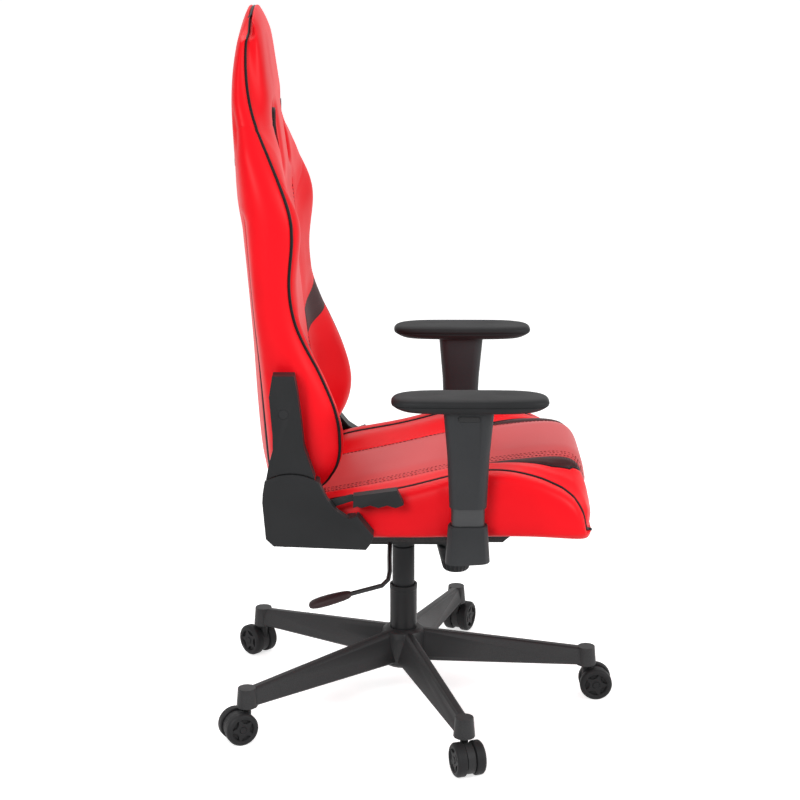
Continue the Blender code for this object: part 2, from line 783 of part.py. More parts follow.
def make_seat(tilt):
    cushion = loft("seat_cushion", [seat_ring(section) for section in SEAT_SECTIONS], 1)
    cut(cushion, box("seat_bottom_trim", (-0.3, -0.4, 0.2), (0.28, 0.4, RAIL_BOTTOM + RAIL_HEIGHT + GAP)))
    finished(cushion, "red_leather", tilt)

    plate_top = RAIL_BOTTOM - GAP
    plate = box(
        "seat_plate",
        (PLATE_BACK, -PLATE_HALF_WIDTH, plate_top - PLATE_THICKNESS),
        (PLATE_FRONT, PLATE_HALF_WIDTH, plate_top),
    )
    ear_y = HOUSING_HALF_WIDTH + RUNNING_GAP
    for side in (-1, 1):
        ys = sorted((side * ear_y, side * (ear_y + PLATE_THICKNESS)))
        ear = [
            (TILT_X - 0.030, plate_top - 0.001),
            (TILT_X - 0.012, TILT_Z - 0.013),
            (TILT_X + 0.012, TILT_Z - 0.013),
            (TILT_X + 0.030, plate_top - 0.001),
        ]
        join(plate, flat_piece("plate_ear", ear, *ys))
    cut(
        plate,
        rod_between(
            "ear_bore", (TILT_X, -0.1, TILT_Z), (TILT_X, 0.1, TILT_Z), TILT_AXLE_RADIUS + GAP
        ),
    )
    finished(plate, "black_steel", tilt)

    top = RAIL_BOTTOM + RAIL_HEIGHT
    for side, word in ((-1, "right"), (1, "left")):
        outline = [
            (RAIL_BACK, RAIL_BOTTOM),
            (RAIL_FRONT - 0.014, RAIL_BOTTOM),
            (RAIL_FRONT, RAIL_BOTTOM + 0.012),
            (RAIL_FRONT, top),
            (RAIL_BACK, top),
        ]
        ys = sorted((side * (RAIL_Y - RAIL_WIDTH / 2), side * (RAIL_Y + RAIL_WIDTH / 2)))
        finished(flat_piece(f"seat_rail_{word}", outline, *ys), "black_steel", tilt)
    reach = RAIL_Y - RAIL_WIDTH / 2 - GAP
    for x, word in ((CROSS_REAR_X, "rear"), (CROSS_FRONT_X, "front")):
        low = (x - CROSS_WIDTH / 2, -reach, RAIL_BOTTOM)
        high = (x + CROSS_WIDTH / 2, reach, top)
        finished(box(f"seat_cross_bar_{word}", low, high), "black_steel", tilt)


# ---------------------------------------------------------------- recliner


def boot_outline():
    """The fixed cover's side view: a round top about the recline axis, and a foot that runs forwards."""
    centre = (PIVOT_X, PIVOT_Z)
    radius = COVER_SPLIT_RADIUS - COVER_SPLIT_GAP
    return [
        (PIVOT_X - 0.031, PIVOT_Z - 0.043),
        (PIVOT_X + 0.125, PIVOT_Z - 0.049),
        (PIVOT_X + 0.133, PIVOT_Z - 0.038),
        (PIVOT_X + 0.138, PIVOT_Z - 0.025),
        (PIVOT_X + 0.110, PIVOT_Z + 0.011),
        (PIVOT_X + 0.096, PIVOT_Z + 0.006),
        (PIVOT_X + 0.078, PIVOT_Z + 0.018),
        (PIVOT_X + 0.060, PIVOT_Z + 0.040),
        *arc(centre, radius, 56, 122, 8),
        (PIVOT_X - 0.048, PIVOT_Z + 0.050),
        (PIVOT_X - 0.049, PIVOT_Z + 0.034),
        (PIVOT_X - 0.044, PIVOT_Z - 0.030),
    ]


def arm_cover_outline():
    """The moving cover's side view, from the round joint up to its square top."""
    centre = (PIVOT_X, PIVOT_Z)
    return [
        *reversed(arc(centre, COVER_SPLIT_RADIUS, 62, 120, 8)),
        (PIVOT_X + 0.022, PIVOT_Z + 0.129),
        (PIVOT_X + 0.018, PIVOT_Z + 0.173),
        (PIVOT_X + 0.012, PIVOT_Z + 0.225),
        (PIVOT_X + 0.007, PIVOT_Z + 0.252),
        (PIVOT_X - 0.029, PIVOT_Z + 0.252),
        (PIVOT_X - 0.035, PIVOT_Z + 0.216),
        (PIVOT_X - 0.030, PIVOT_Z + 0.150),
        (PIVOT_X - 0.030, PIVOT_Z + 0.125),
        (PIVOT_X - 0.037, PIVOT_Z + 0.100),
    ]


def cover_shell(name, outline, side, outer_y, opening):
    """A cover open towards the seat, with a chamfered rim and the given stretch of its wall left out."""
    low, high = sorted((side * COVER_INNER_Y, side * outer_y))
    shell = chamfer_side(flat_piece(name, outline, low, high), side * outer_y, COVER_CHAMFER)
    hollow = sorted((side * (COVER_INNER_Y - 0.01), side * (outer_y - COVER_SHELL)))
    inner = chamfer_side(
        flat_piece("cover_hollow", inset(outline, COVER_SHELL), *hollow),
        side * (outer_y - COVER_SHELL),
        COVER_CHAMFER,
    )
    way = sorted((side * (COVER_INNER_Y - 0.01), side * (outer_y - COVER_SHELL - COVER_CHAMFER)))
    return cut(shell, inner, flat_piece("cover_way", opening, *way))


def hinge_arm_x(z):
    """The hinge arm's centre line at this height."""
    return PIVOT_X + (ARM_TOP_X - PIVOT_X) * (z - PIVOT_Z) / (ARM_TOP - PIVOT_Z)


def make_recliner_side(side, word, tilt, recline):
    centre = (PIVOT_X, PIVOT_Z)
    spacer_z = RAIL_BOTTOM + RAIL_HEIGHT - SPACER_RADIUS - 0.001
    bracket_outline = [
        (PIVOT_X - 0.028, PIVOT_Z - 0.030),
        (PIVOT_X - 0.016, spacer_z - SPACER_RADIUS),
        (PIVOT_X + 0.110, spacer_z - SPACER_RADIUS),
        (PIVOT_X + 0.118, PIVOT_Z - 0.040),
        (PIVOT_X + 0.100, PIVOT_Z - 0.018),
        *arc(centre, ARM_DISC_RADIUS, -5, 205, 12),
    ]
    ys = sorted((side * BRACKET_Y, side * (BRACKET_Y + HINGE_PLATE)))
    bracket = flat_piece(f"recliner_bracket_{word}", bracket_outline, *ys)
    rail_face = RAIL_Y + RAIL_WIDTH / 2 + GAP
    for x in (PIVOT_X + 0.077, PIVOT_X + 0.100):
        start = (x, side * rail_face, spacer_z)
        end = (x, side * (BRACKET_Y + 0.001), spacer_z)
        join(bracket, rod_between("bracket_spacer", start, end, SPACER_RADIUS))
    shaft_hole = rod_between(
        "shaft_hole",
        (PIVOT_X, -0.3, PIVOT_Z),
        (PIVOT_X, 0.3, PIVOT_Z),
        SHAFT_RADIUS + RUNNING_GAP,
    )
    cut(bracket, shaft_hole)
    finished(bracket, "black_steel", tilt)

    neck_z = PIVOT_Z + 0.070
    neck_x = hinge_arm_x(neck_z)
    arm_outline = [
        *arc(centre, ARM_DISC_RADIUS, 150, 390, 12),
        (neck_x + ARM_WIDTH / 2, neck_z),
        (ARM_TOP_X + ARM_WIDTH / 2, ARM_TOP),
        (ARM_TOP_X - ARM_WIDTH / 2, ARM_TOP),
        (neck_x - ARM_WIDTH / 2, neck_z),
    ]
    ys = sorted((side * ARM_PLATE_Y, side * (ARM_PLATE_Y + HINGE_PLATE)))
    arm = flat_piece(f"hinge_arm_{word}", arm_outline, *ys)
    cut(arm, shaft_hole)
    finished(arm, "black_steel", recline)

    sweep = [centre, *arc(centre, 0.110, 60, 170, 8)]
    boot = cover_shell(f"boot_cover_{word}", boot_outline(), side, BOOT_OUTER_Y, sweep)
    for x, z in ((PIVOT_X + 0.098, PIVOT_Z - 0.030), (PIVOT_X + 0.040, PIVOT_Z - 0.036)):
        start = (x, side * (BRACKET_Y + HINGE_PLATE + GAP), z)
        join(boot, rod_between("boot_boss", start, (x, side * (BOOT_OUTER_Y - 0.001), z), 0.005))
    notch = sorted((side * (COVER_INNER_Y - 0.01), side * (BRACKET_Y + HINGE_PLATE + GAP)))
    low = (PIVOT_X - 0.030, notch[0], spacer_z - 0.02)
    high = (PIVOT_X + 0.122, notch[1], PIVOT_Z - 0.032)
    cut(boot, box("bracket_notch", low, high))
    if side < 0:
        # the release lever comes out through the foot's concave edge
        way = [
            (PIVOT_X + 0.030, PIVOT_Z - 0.004),
            (PIVOT_X + 0.130, PIVOT_Z + 0.010),
            (PIVOT_X + 0.110, PIVOT_Z + 0.090),
            (PIVOT_X + 0.030, PIVOT_Z + 0.060),
        ]
        low = side * (LEVER_PLATE_Y + LEVER_PLATE + 0.001)
        high = side * (COVER_INNER_Y - 0.01)
        cut(boot, flat_piece("lever_way", way, low, high))
    finished(boot, "charcoal_plastic", tilt)

    below = [centre, *arc(centre, COVER_SPLIT_RADIUS + 0.004, 68, 114, 6)]
    cover = cover_shell(f"arm_cover_{word}", arm_cover_outline(), side, ARM_COVER_OUTER_Y, below)
    plug_low = ARM_COVER_OUTER_Y - 0.0018
    start = (PLUG_X, side * (ARM_PLATE_Y + HINGE_PLATE + GAP), PLUG_Z)
    join(cover, rod_between("cover_boss", start, (PLUG_X, side * plug_low, PLUG_Z), 0.010))
    pocket_low = (PLUG_X, side * plug_low, PLUG_Z)
    pocket_high = (PLUG_X, side * (ARM_COVER_OUTER_Y + 0.01), PLUG_Z)
    cut(cover, rod_between("plug_pocket", pocket_low, pocket_high, PLUG_RADIUS + GAP, segments=16))
    finished(cover, "charcoal_plastic", recline)
    plug = rod_between(
        f"bolt_plug_{word}",
        (PLUG_X, side * (plug_low + GAP), PLUG_Z),
        (PLUG_X, side * (ARM_COVER_OUTER_Y + 0.0004), PLUG_Z),
        PLUG_RADIUS,
        segments=16,
    )
    finished(plug, "charcoal_plastic", recline)


def make_recline_lever(lever):
    shaft = rod_between(
        "recliner_shaft",
        (PIVOT_X, -(LEVER_PLATE_Y + LEVER_PLATE + 0.002), PIVOT_Z),
        (PIVOT_X, ARM_PLATE_Y + HINGE_PLATE + 0.004, PIVOT_Z),
        SHAFT_RADIUS,
    )
    finished(shaft, "bright_steel", lever)
    centre = (PIVOT_X, PIVOT_Z)
    outline = [
        *arc(centre, 0.013, 110, 300, 8),
        (PIVOT_X + 0.050, PIVOT_Z + 0.014),
        (PIVOT_X + 0.100, PIVOT_Z + 0.031),
        (PIVOT_X + 0.170, PIVOT_Z + 0.038),
        (PIVOT_X + 0.170, PIVOT_Z + 0.046),
        (PIVOT_X + 0.098, PIVOT_Z + 0.043),
        (PIVOT_X + 0.045, PIVOT_Z + 0.028),
    ]
    low, high = -(LEVER_PLATE_Y + LEVER_PLATE), -LEVER_PLATE_Y
    lever_arm = flat_piece("recline_lever_arm", outline, low, high)
    cut(
        lever_arm,
        rod_between("lever_hole", (PIVOT_X, -0.3, PIVOT_Z), (PIVOT_X, 0, PIVOT_Z), SHAFT_RADIUS + GAP),
    )
    finished(lever_arm, "black_steel", lever)

    left, right = PIVOT_X + 0.1035, PIVOT_X + 0.189
    grip_outline = [(left, PIVOT_Z + 0.0235)]
    waves = 12
    for i in range(1, waves):
        x = left + (right - left) * i / waves
        grip_outline.append((x, PIVOT_Z + 0.0255
                             + 0.0022 * math.cos(i * math.pi * 0.5)))
    grip_outline += [
        (right, PIVOT_Z + 0.029),
        (right - 0.012, PIVOT_Z + 0.054),
        (left, PIVOT_Z + 0.044),
    ]
    grip = flat_piece("recline_lever_grip", grip_outline, -0.2860, -0.2640)
    slot = inset(outline, -GAP)
    cut(grip, flat_piece("grip_slot", slot, low - GAP, high + GAP))
    bevelled(grip, 0.0015, 1)
    finished(grip, "charcoal_plastic", lever)


# ---------------------------------------------------------------- backrest


BACK_SECTIONS = (
    # z, rear, half width, wing crest x, wing crest y, middle panel x
    (0.458, -0.238, 0.200, -0.163, 0.170, -0.170),
    (0.476, -0.250, 0.228, -0.126, 0.198, -0.168),
    (0.510, -0.258, 0.246, -0.099, 0.214, -0.166),
    (0.560, -0.262, 0.250, -0.088, 0.218, -0.162),
    (0.620, -0.266, 0.251, -0.102, 0.219, -0.162),
    (0.690, -0.269, 0.251, -0.135, 0.219, -0.168),
    (0.760, -0.274, 0.252, -0.171, 0.219, -0.176),
    (0.840, -0.280, 0.254, -0.180, 0.221, -0.186),
    (0.920, -0.287, 0.256, -0.159, 0.223, -0.195),
    (0.985, -0.291, 0.250, -0.184, 0.219, -0.203),
    (1.050, -0.295, 0.228, -0.218, 0.202, -0.211),
    (1.110, -0.296, 0.198, -0.246, 0.178, -0.219),
    (1.170, -0.292, 0.172, -0.257, 0.154, -0.227),
    (1.225, -0.281, 0.152, -0.257, 0.134, -0.234),
    (1.260, -0.271, 0.118, -0.254, 0.100, -0.243),
    (1.275, -0.263, 0.078, -0.257, 0.066, -0.253),
)
REAR_ROUNDING = 0.013  # how far the rear panel falls forward between its middle and its edges


def back_ring(section):
    z, rear, half, crest_x, crest_y, middle = section
    depth = crest_x - rear
    slope = crest_y - SEAT_GROOVE_Y
    fall = REAR_ROUNDING * min(1, depth / 0.080)
    right = [
        (rear, 0.045),
        (rear + fall, 0.62 * half),
        (rear + fall + 0.08 * depth, 0.90 * half),
        (rear + 0.5 * fall + 0.32 * depth, half),
        (rear + 0.70 * depth, half),
        (crest_x - 0.10 * depth, half - 0.30 * (half - crest_y)),
        (crest_x, crest_y),
        (crest_x + 0.30 * (middle - crest_x), crest_y - 0.35 * slope),
        (crest_x + 0.85 * (middle - crest_x), crest_y - 0.80 * slope),
        (middle, 0.5 * crest_y),
        (middle, 0.040),
    ]
    left = [(x, -y) for x, y in reversed(right)]
    return [(x, y, z) for x, y in right + left]


def frame_points(side):
    uprights = [Vector((x, side * FRAME_Y, z)) for x, z in FRAME_LINE]
    bend = 0.050
    top_x, top_z = FRAME_TOP
    corner = [
        Vector((top_x, side * (FRAME_Y - bend * (1 - math.cos(a))), top_z - bend * (1 - math.sin(a))))
        for a in (math.radians(angle) for angle in (30, 60, 90))
    ]
    return uprights + corner


def frame_shapes(clearance):
    """The back frame's hoop, lower bar and side stubs, each grown by the clearance."""
    right, left = frame_points(-1), frame_points(1)
    radius = FRAME_TUBE + clearance
    hoop = tube_along("frame_hoop", right + left[::-1], radius, 1)
    low_x, low_z = FRAME_LINE[0]
    bar = rod_between(
        "frame_bar",
        (low_x, -FRAME_Y, low_z + 0.012),
        (low_x, FRAME_Y, low_z + 0.012),
        radius - 0.001,
        segments=8,
    )
    stubs = []
    for z in FRAME_STUB_HEIGHTS:
        x = hinge_arm_x(z)
        for side in (-1, 1):
            start = (x, side * (FRAME_Y + 0.002), z)
            end = (x, side * (ARM_PLATE_Y - GAP + clearance), z)
            stubs.append(rod_between("frame_stub", start, end, FRAME_STUB_RADIUS + clearance, segments=8))
    return hoop, bar, *stubs


def slot_outline(grow):
    middle = (SLOT_Y, (SLOT_BOTTOM + SLOT_TOP) / 2)
    width, height = SLOT_WIDTH + 2 * grow, SLOT_TOP - SLOT_BOTTOM + 2 * grow
    return rounded_rectangle(width, height, 0.012 + grow, 3, middle)


def mirrored(outline, side):
    if side > 0:
        return outline
    return [(-across, up) for across, up in reversed(outline)]


def make_back(recline):
    rings = [back_ring(section) for section in BACK_SECTIONS]
    reach = 0.4
    centre = loft("back_cushion", rings, 1)
    for side in (-1, 1):
        ys = sorted((side * BACK_SPLIT_Y, side * reach))
        cut(centre, box("wing_space", (-0.5, ys[0], 0.40), (0, ys[1], 1.40)))
    cut(centre, *frame_shapes(GAP))
    for side in (-1, 1):
        outline = mirrored(slot_outline(GAP), side)
        cut(centre, flat_piece("belt_slot", outline, -0.36, -0.16, "YZ"))
    finished(centre, "red_leather", recline)

    for side, word in ((-1, "right"), (1, "left")):
        wing = loft(f"back_wing_{word}", rings, 1)
        ys = sorted((side * (BACK_SPLIT_Y + GAP), -side * reach))
        cut(wing, box("centre_space", (-0.5, ys[0], 0.40), (0, ys[1], 1.40)))
        for z in FRAME_STUB_HEIGHTS:
            x = hinge_arm_x(z)
            start, end = (x, side * 0.10, z), (x, side * 0.30, z)
            cut(wing, rod_between("stub_hole", start, end, FRAME_STUB_RADIUS + GAP, segments=8))
        finished(wing, "red_leather", recline)

        outer, inner = slot_outline(0), slot_outline(-BEZEL_WALL)
        bezel = flat_piece(f"belt_slot_bezel_{word}", mirrored(outer, side), BEZEL_REAR, BEZEL_FRONT, "YZ")
        cut(bezel, flat_piece("bezel_hole", mirrored(inner, side), -0.36, -0.16, "YZ"))
        finished(bezel, "charcoal_plastic", recline)

    hoop, bar, *stubs = frame_shapes(0)
    hoop.name = "back_frame"
    join(hoop, bar, *stubs)
    finished(hoop, "black_steel", recline)


# ---------------------------------------------------------------- armrests


def upright_loft(name, stations, side, radius=0.012):
    rings = []
    for z, length, depth, centre_x in stations:
        outline = rounded_rectangle(length, depth, min(radius, depth / 2 - 0.001), 3)
        rings.append([(centre_x + x, side * ARM_Y + y, z) for x, y in outline])
    return loft(name, rings, 0)


def make_armrest(side, word, tilt, height, button_pivot):
    face = ARM_Y - SLEEVE_DEPTH / 2 - GAP
    top = RAIL_BOTTOM - GAP
    outline = [
        (RAIL_Y - 0.045, top - BRACKET_PLATE),
        (face, top - BRACKET_PLATE),
        (face, SLEEVE_TOP - 0.028),
        (face - BRACKET_PLATE, SLEEVE_TOP - 0.028),
        (face - BRACKET_PLATE, top),
        (RAIL_Y - 0.045, top),
    ]
    bracket = flat_piece(
        f"armrest_bracket_{word}",
        mirrored(outline, side),
        ARM_X - BRACKET_LENGTH / 2,
        ARM_X + BRACKET_LENGTH / 2,
        "YZ",
    )
    finished(bracket, "black_steel", tilt)

    post = upright_loft(
        f"armrest_post_{word}",
        ((POST_BOTTOM, POST_LENGTH, POST_DEPTH, ARM_X), (POST_TOP, POST_LENGTH, POST_DEPTH, ARM_X)),
        side,
    )
    finished(post, "bright_steel", tilt)

    sleeve = upright_loft(
        f"armrest_sleeve_{word}",
        (
            (SLEEVE_BOTTOM, SLEEVE_BOTTOM_LENGTH, SLEEVE_DEPTH, ARM_X),
            (SLEEVE_TOP - 0.002, SLEEVE_TOP_LENGTH, SLEEVE_DEPTH, ARM_X),
            (SLEEVE_TOP, SLEEVE_TOP_LENGTH - 0.003, SLEEVE_DEPTH - 0.003, ARM_X),
        ),
        side,
        0.015,
    )
    slant = [(0.03, 0.30), (0.20, 0.30), (0.20, SLEEVE_BOTTOM + 0.006), (0.03, SLEEVE_BOTTOM - 0.004)]
    slant_ys = sorted((side * (ARM_Y - 0.05), side * (ARM_Y + 0.05)))
    cut(
        sleeve,
        upright_loft(
            "post_pocket",
            (
                (POST_BOTTOM - GAP, POST_LENGTH + 2 * GAP, POST_DEPTH + 2 * GAP, ARM_X),
                (SLEEVE_TOP + 0.02, POST_LENGTH + 2 * GAP, POST_DEPTH + 2 * GAP, ARM_X),
            ),
            side,
        ),
        flat_piece("sleeve_slant", slant, *slant_ys),
    )
    finished(sleeve, "charcoal_plastic", tilt)

    shell = upright_loft(
        f"armrest_shell_{word}",
        (
            (SHELL_BOTTOM, SHELL_BOTTOM_LENGTH, SHELL_BOTTOM_DEPTH, ARM_X),
            (SHELL_BOTTOM + 0.090, SHELL_BOTTOM_LENGTH + 0.008, SHELL_BOTTOM_DEPTH + 0.003, ARM_X),
            (SHELL_TOP, SHELL_TOP_LENGTH, SHELL_TOP_DEPTH, ARM_X),
        ),
        side,
        0.017,
    )
    cut(
        shell,
        upright_loft(
            "post_bore",
            (
                (SHELL_BOTTOM - 0.02, POST_LENGTH + 2 * RUNNING_GAP, POST_DEPTH + 2 * RUNNING_GAP, ARM_X),
                (SHELL_CEILING, POST_LENGTH + 2 * RUNNING_GAP, POST_DEPTH + 2 * RUNNING_GAP, ARM_X),
            ),
            side,
        ),
    )
    outer = ARM_Y + SHELL_TOP_DEPTH / 2 - 0.0004
    pocket_outline = rounded_rectangle(
        BUTTON_LENGTH + 2 * GAP, BUTTON_HEIGHT + 2 * GAP, BUTTON_HEIGHT / 2, 3, (ARM_X, BUTTON_Z)
    )
    pocket = sorted((side * (outer - BUTTON_POCKET), side * (outer + 0.02)))
    cut(shell, flat_piece("button_pocket", pocket_outline, *pocket))
    finished(shell, "charcoal_plastic", height)

    button_outline = rounded_rectangle(
        BUTTON_LENGTH, BUTTON_HEIGHT, BUTTON_HEIGHT / 2 - GAP, 3, (ARM_X, BUTTON_Z)
    )
    button = sorted((side * (outer + BUTTON_PROUD - BUTTON_DEPTH), side * (outer + BUTTON_PROUD)))
    piece = flat_piece(f"armrest_button_{word}", button_outline, *button)
    finished(piece, "nylon", button_pivot)

    pad = flat_piece(
        f"armrest_pad_{word}",
        rounded_rectangle(PAD_LENGTH, PAD_WIDTH, 0.034, 5, (ARM_X + 0.002, side * ARM_Y)),
        PAD_BOTTOM,
        PAD_BOTTOM + PAD_THICKNESS,
        "XY",
    )
    bevelled(pad, 0.007, 2)
    finished(pad, "charcoal_plastic", height)


# ---------------------------------------------------------------- assembly

clear_scene()
parts = new_collection("racing_chair")
cutters = new_collection("cutters")
pivot_places = {}

root_pivot = new_pivot("chair_root", (0, 0, 0))
lift_pivot = new_pivot("height_slide", (0, 0, COLUMN_TOP), root_pivot)
swivel_pivot = new_pivot("seat_swivel", (0, 0, HOUSING_BOTTOM), lift_pivot)
knob_pivot = new_pivot("tension_turn", (KNOB_X, 0, KNOB_TOP), swivel_pivot)
lever_pivot = new_pivot("lift_lever_hinge", (LEVER_X, LEVER_Y, LEVER_Z), swivel_pivot)
tilt_pivot = new_pivot("seat_tilt", (TILT_X, 0, TILT_Z), swivel_pivot)
recline_pivot = new_pivot("back_recline", (PIVOT_X, 0, PIVOT_Z), tilt_pivot)
release_pivot = new_pivot("recline_lever_hinge", (PIVOT_X, 0, PIVOT_Z), tilt_pivot)

make_base(root_pivot)
for number, (angle, turn) in enumerate(zip(LEG_ANGLES, CASTER_TURNS), start=1):
    make_caster(number, angle, turn, root_pivot)
make_gas_lift(root_pivot, lift_pivot)
make_mechanism(swivel_pivot, tilt_pivot)
make_tension_knob(swivel_pivot, knob_pivot)
make_lift_lever(lever_pivot)
make_seat(tilt_pivot)
make_recline_lever(release_pivot)
make_back(recline_pivot)
for side, word in ((-1, "right"), (1, "left")):
    make_recliner_side(side, word, tilt_pivot, recline_pivot)
    arm_pivot = new_pivot(f"armrest_height_{word}", (ARM_X, side * ARM_Y, SHELL_BOTTOM), tilt_pivot)
    button_place = (ARM_X, side * (ARM_Y + SHELL_TOP_DEPTH / 2), BUTTON_Z)
    press_pivot = new_pivot(f"armrest_button_press_{word}", button_place, arm_pivot)
    make_armrest(side, word, tilt_pivot, arm_pivot, press_pivot)
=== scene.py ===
import json
import math

import bmesh
import bpy
import numpy as np
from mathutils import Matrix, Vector

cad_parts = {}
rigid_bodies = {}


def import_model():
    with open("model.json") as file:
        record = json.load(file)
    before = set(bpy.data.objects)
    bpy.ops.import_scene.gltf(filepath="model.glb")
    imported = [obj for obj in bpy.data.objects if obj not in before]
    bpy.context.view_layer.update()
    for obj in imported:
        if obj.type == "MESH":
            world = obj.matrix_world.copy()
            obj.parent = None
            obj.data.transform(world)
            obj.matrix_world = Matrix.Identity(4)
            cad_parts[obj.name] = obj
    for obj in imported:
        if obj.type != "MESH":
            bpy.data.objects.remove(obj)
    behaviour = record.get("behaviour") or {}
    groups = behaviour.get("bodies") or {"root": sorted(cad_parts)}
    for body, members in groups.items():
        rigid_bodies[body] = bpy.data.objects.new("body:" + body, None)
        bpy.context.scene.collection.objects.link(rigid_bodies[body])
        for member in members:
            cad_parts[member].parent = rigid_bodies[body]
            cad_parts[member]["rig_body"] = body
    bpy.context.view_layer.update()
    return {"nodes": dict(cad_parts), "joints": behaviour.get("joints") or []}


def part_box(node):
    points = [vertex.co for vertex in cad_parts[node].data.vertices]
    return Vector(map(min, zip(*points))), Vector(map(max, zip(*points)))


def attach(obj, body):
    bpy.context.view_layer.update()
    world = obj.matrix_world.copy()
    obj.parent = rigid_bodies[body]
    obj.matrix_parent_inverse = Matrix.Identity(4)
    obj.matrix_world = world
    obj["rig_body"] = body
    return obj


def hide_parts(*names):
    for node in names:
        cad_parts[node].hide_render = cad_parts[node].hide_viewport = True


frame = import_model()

scene = bpy.context.scene
cad = frame["nodes"]
jointOf = {joint["name"]: joint for joint in frame["joints"]}
bodyOf = {name: cad[name]["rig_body"] for name in cad}
print("frame:", len(cad), "nodes")


# grids and meshes

def gridQuads(rows, columns, wrap=True):
    # quad (i, j) joins points (i, j), (i, j+1), (i+1, j+1) and (i+1, j) of a grid numbered i * columns + j
    i = np.arange(rows - 1)[:, None]
    j = np.arange(columns if wrap else columns - 1)[None, :]
    right = (j + 1) % columns
    low, high = i * columns, (i + 1) * columns
    return np.stack([low + j, low + right, high + right, high + j], -1).reshape(-1, 4)


def newPiece(name, points, quads, values=None, sharp=None):
    # points (n, 3) and quads (m, 4) as one mesh; rows that meet in a pole are merged, and normals turned outwards
    points = np.ascontiguousarray(points, np.float32).reshape(-1, 3)
    quads = np.ascontiguousarray(quads, np.int32)
    mesh = bpy.data.meshes.new(name)
    mesh.vertices.add(len(points))
    mesh.vertices.foreach_set("co", points.ravel())
    mesh.loops.add(quads.size)
    mesh.loops.foreach_set("vertex_index", quads.ravel())
    mesh.polygons.add(len(quads))
    mesh.polygons.foreach_set("loop_start", np.arange(0, quads.size, 4, dtype=np.int32))
    mesh.update(calc_edges=True)
    for key, numbers in (values or {}).items():
        mesh.attributes.new(key, "FLOAT", "POINT").data.foreach_set("value", np.ascontiguousarray(numbers, np.float32).ravel())
    tidy = bmesh.new()
    tidy.from_mesh(mesh)
    bmesh.ops.remove_doubles(tidy, verts=tidy.verts, dist=2e-6)
    bmesh.ops.recalc_face_normals(tidy, faces=tidy.faces)
    tidy.to_mesh(mesh)
    tidy.free()
    mesh.shade_smooth()
    if sharp:
        mesh.set_sharp_from_angle(angle=math.radians(sharp))
    piece = bpy.data.objects.new(name, mesh)
    scene.collection.objects.link(piece)
    return piece


def dress(piece, material, body, replaced=()):
    piece.data.materials.clear()
    piece.data.materials.append(material)
    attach(piece, body)
    if replaced:
        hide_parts(*replaced)
    return piece


def splineWeights(count, at, wrap):
    # uniform cubic B-spline: the share of each of count control points at each parameter in at
    base = np.floor(at).astype(int)
    t = at - base
    shares = np.stack([(1 - t) ** 3, 3 * t ** 3 - 6 * t ** 2 + 4, 1 + 3 * t + 3 * t ** 2 - 3 * t ** 3, t ** 3], 1) / 6
    table = np.zeros((len(at), count))
    for k in range(4):
        index = base - 1 + k
        index = index % count if wrap else np.clip(index, 0, count - 1)
        np.add.at(table, (np.arange(len(at)), index), shares[:, k])
    return table


def normalsOf(grid):
    # unit cross product of the two parameter directions; the second one wraps round
    along = np.gradient(grid, axis=0)
    around = np.roll(grid, -1, 1) - np.roll(grid, 1, 1)
    cross = np.cross(along, around)
    return cross / np.maximum(np.linalg.norm(cross, axis=2, keepdims=True), 1e-12)


def gridAt(grid, row, column):
    # bilinear value of a wrapped grid at fractional rows and columns
    row = np.clip(np.asarray(row, float), 0, len(grid) - 1.0001)
    i, j = np.floor(row).astype(int), np.floor(column).astype(int)
    s, t = (row - i)[:, None], (column - j)[:, None]
    wide = grid.shape[1]
    a, b = grid[i, j % wide], grid[i, (j + 1) % wide]
    c, d = grid[i + 1, j % wide], grid[i + 1, (j + 1) % wide]
    return (a * (1 - t) + b * t) * (1 - s) + (c * (1 - t) + d * t) * s


def ringDistance(grid, columns):
    # signed distance round each row from the seam, which crosses row i at the fractional column columns[i]
    step = np.linalg.norm(np.roll(grid, -1, 1) - grid, axis=2)
    run = np.concatenate([np.zeros((len(grid), 1)), np.cumsum(step, 1)], 1)
    at = np.arange(grid.shape[1] + 1)
    seam = np.array([np.interp(c, at, r) for c, r in zip(columns, run)])
    return run[:, :-1] - seam[:, None]


def smoothstep(low, high, x):
    t = np.clip((x - low) / (high - low), 0, 1)
    return t * t * (3 - 2 * t)


def evenly(path, spacing, *others):
    # the path, and anything that goes with it, resampled so that neighbours lie about spacing apart
    run = np.concatenate([[0], np.cumsum(np.linalg.norm(np.diff(path, axis=0), axis=1))])
    at = np.linspace(0, run[-1], max(int(run[-1] / spacing), 3) + 1)
    return [np.stack([np.interp(at, run, field[:, k]) for k in range(3)], 1) for field in (path, *others)]


def tubeGrid(path, normals, radius, sides=10):
    # point(i, a) = path(i) + radius (cos a normal + sin a tangent x normal), closed by a pole at each end
    tangent = np.gradient(path, axis=0)
    tangent /= np.linalg.norm(tangent, axis=1, keepdims=True)
    up = normals - (normals * tangent).sum(1, keepdims=True) * tangent
    up /= np.linalg.norm(up, axis=1, keepdims=True)
    side = np.cross(tangent, up)
    angle = np.linspace(0, 2 * np.pi, sides, endpoint=False)
    size = np.broadcast_to(radius, len(path))[:, None, None]
    turn = angle[None, :, None]
    grid = path[:, None] + size * (np.cos(turn) * up[:, None] + np.sin(turn) * side[:, None])
    first, last = np.repeat(path[:1, None], sides, 1), np.repeat(path[-1:, None], sides, 1)
    return np.concatenate([first, grid, last])


def joined(grids):
    # several wrapped grids as one list of points and one of quads
    points, quads, start = [], [], 0
    for grid in grids:
        points.append(grid.reshape(-1, 3))
        quads.append(gridQuads(*grid.shape[:2]) + start)
        start += grid.shape[0] * grid.shape[1]
    return np.concatenate(points), np.concatenate(quads)


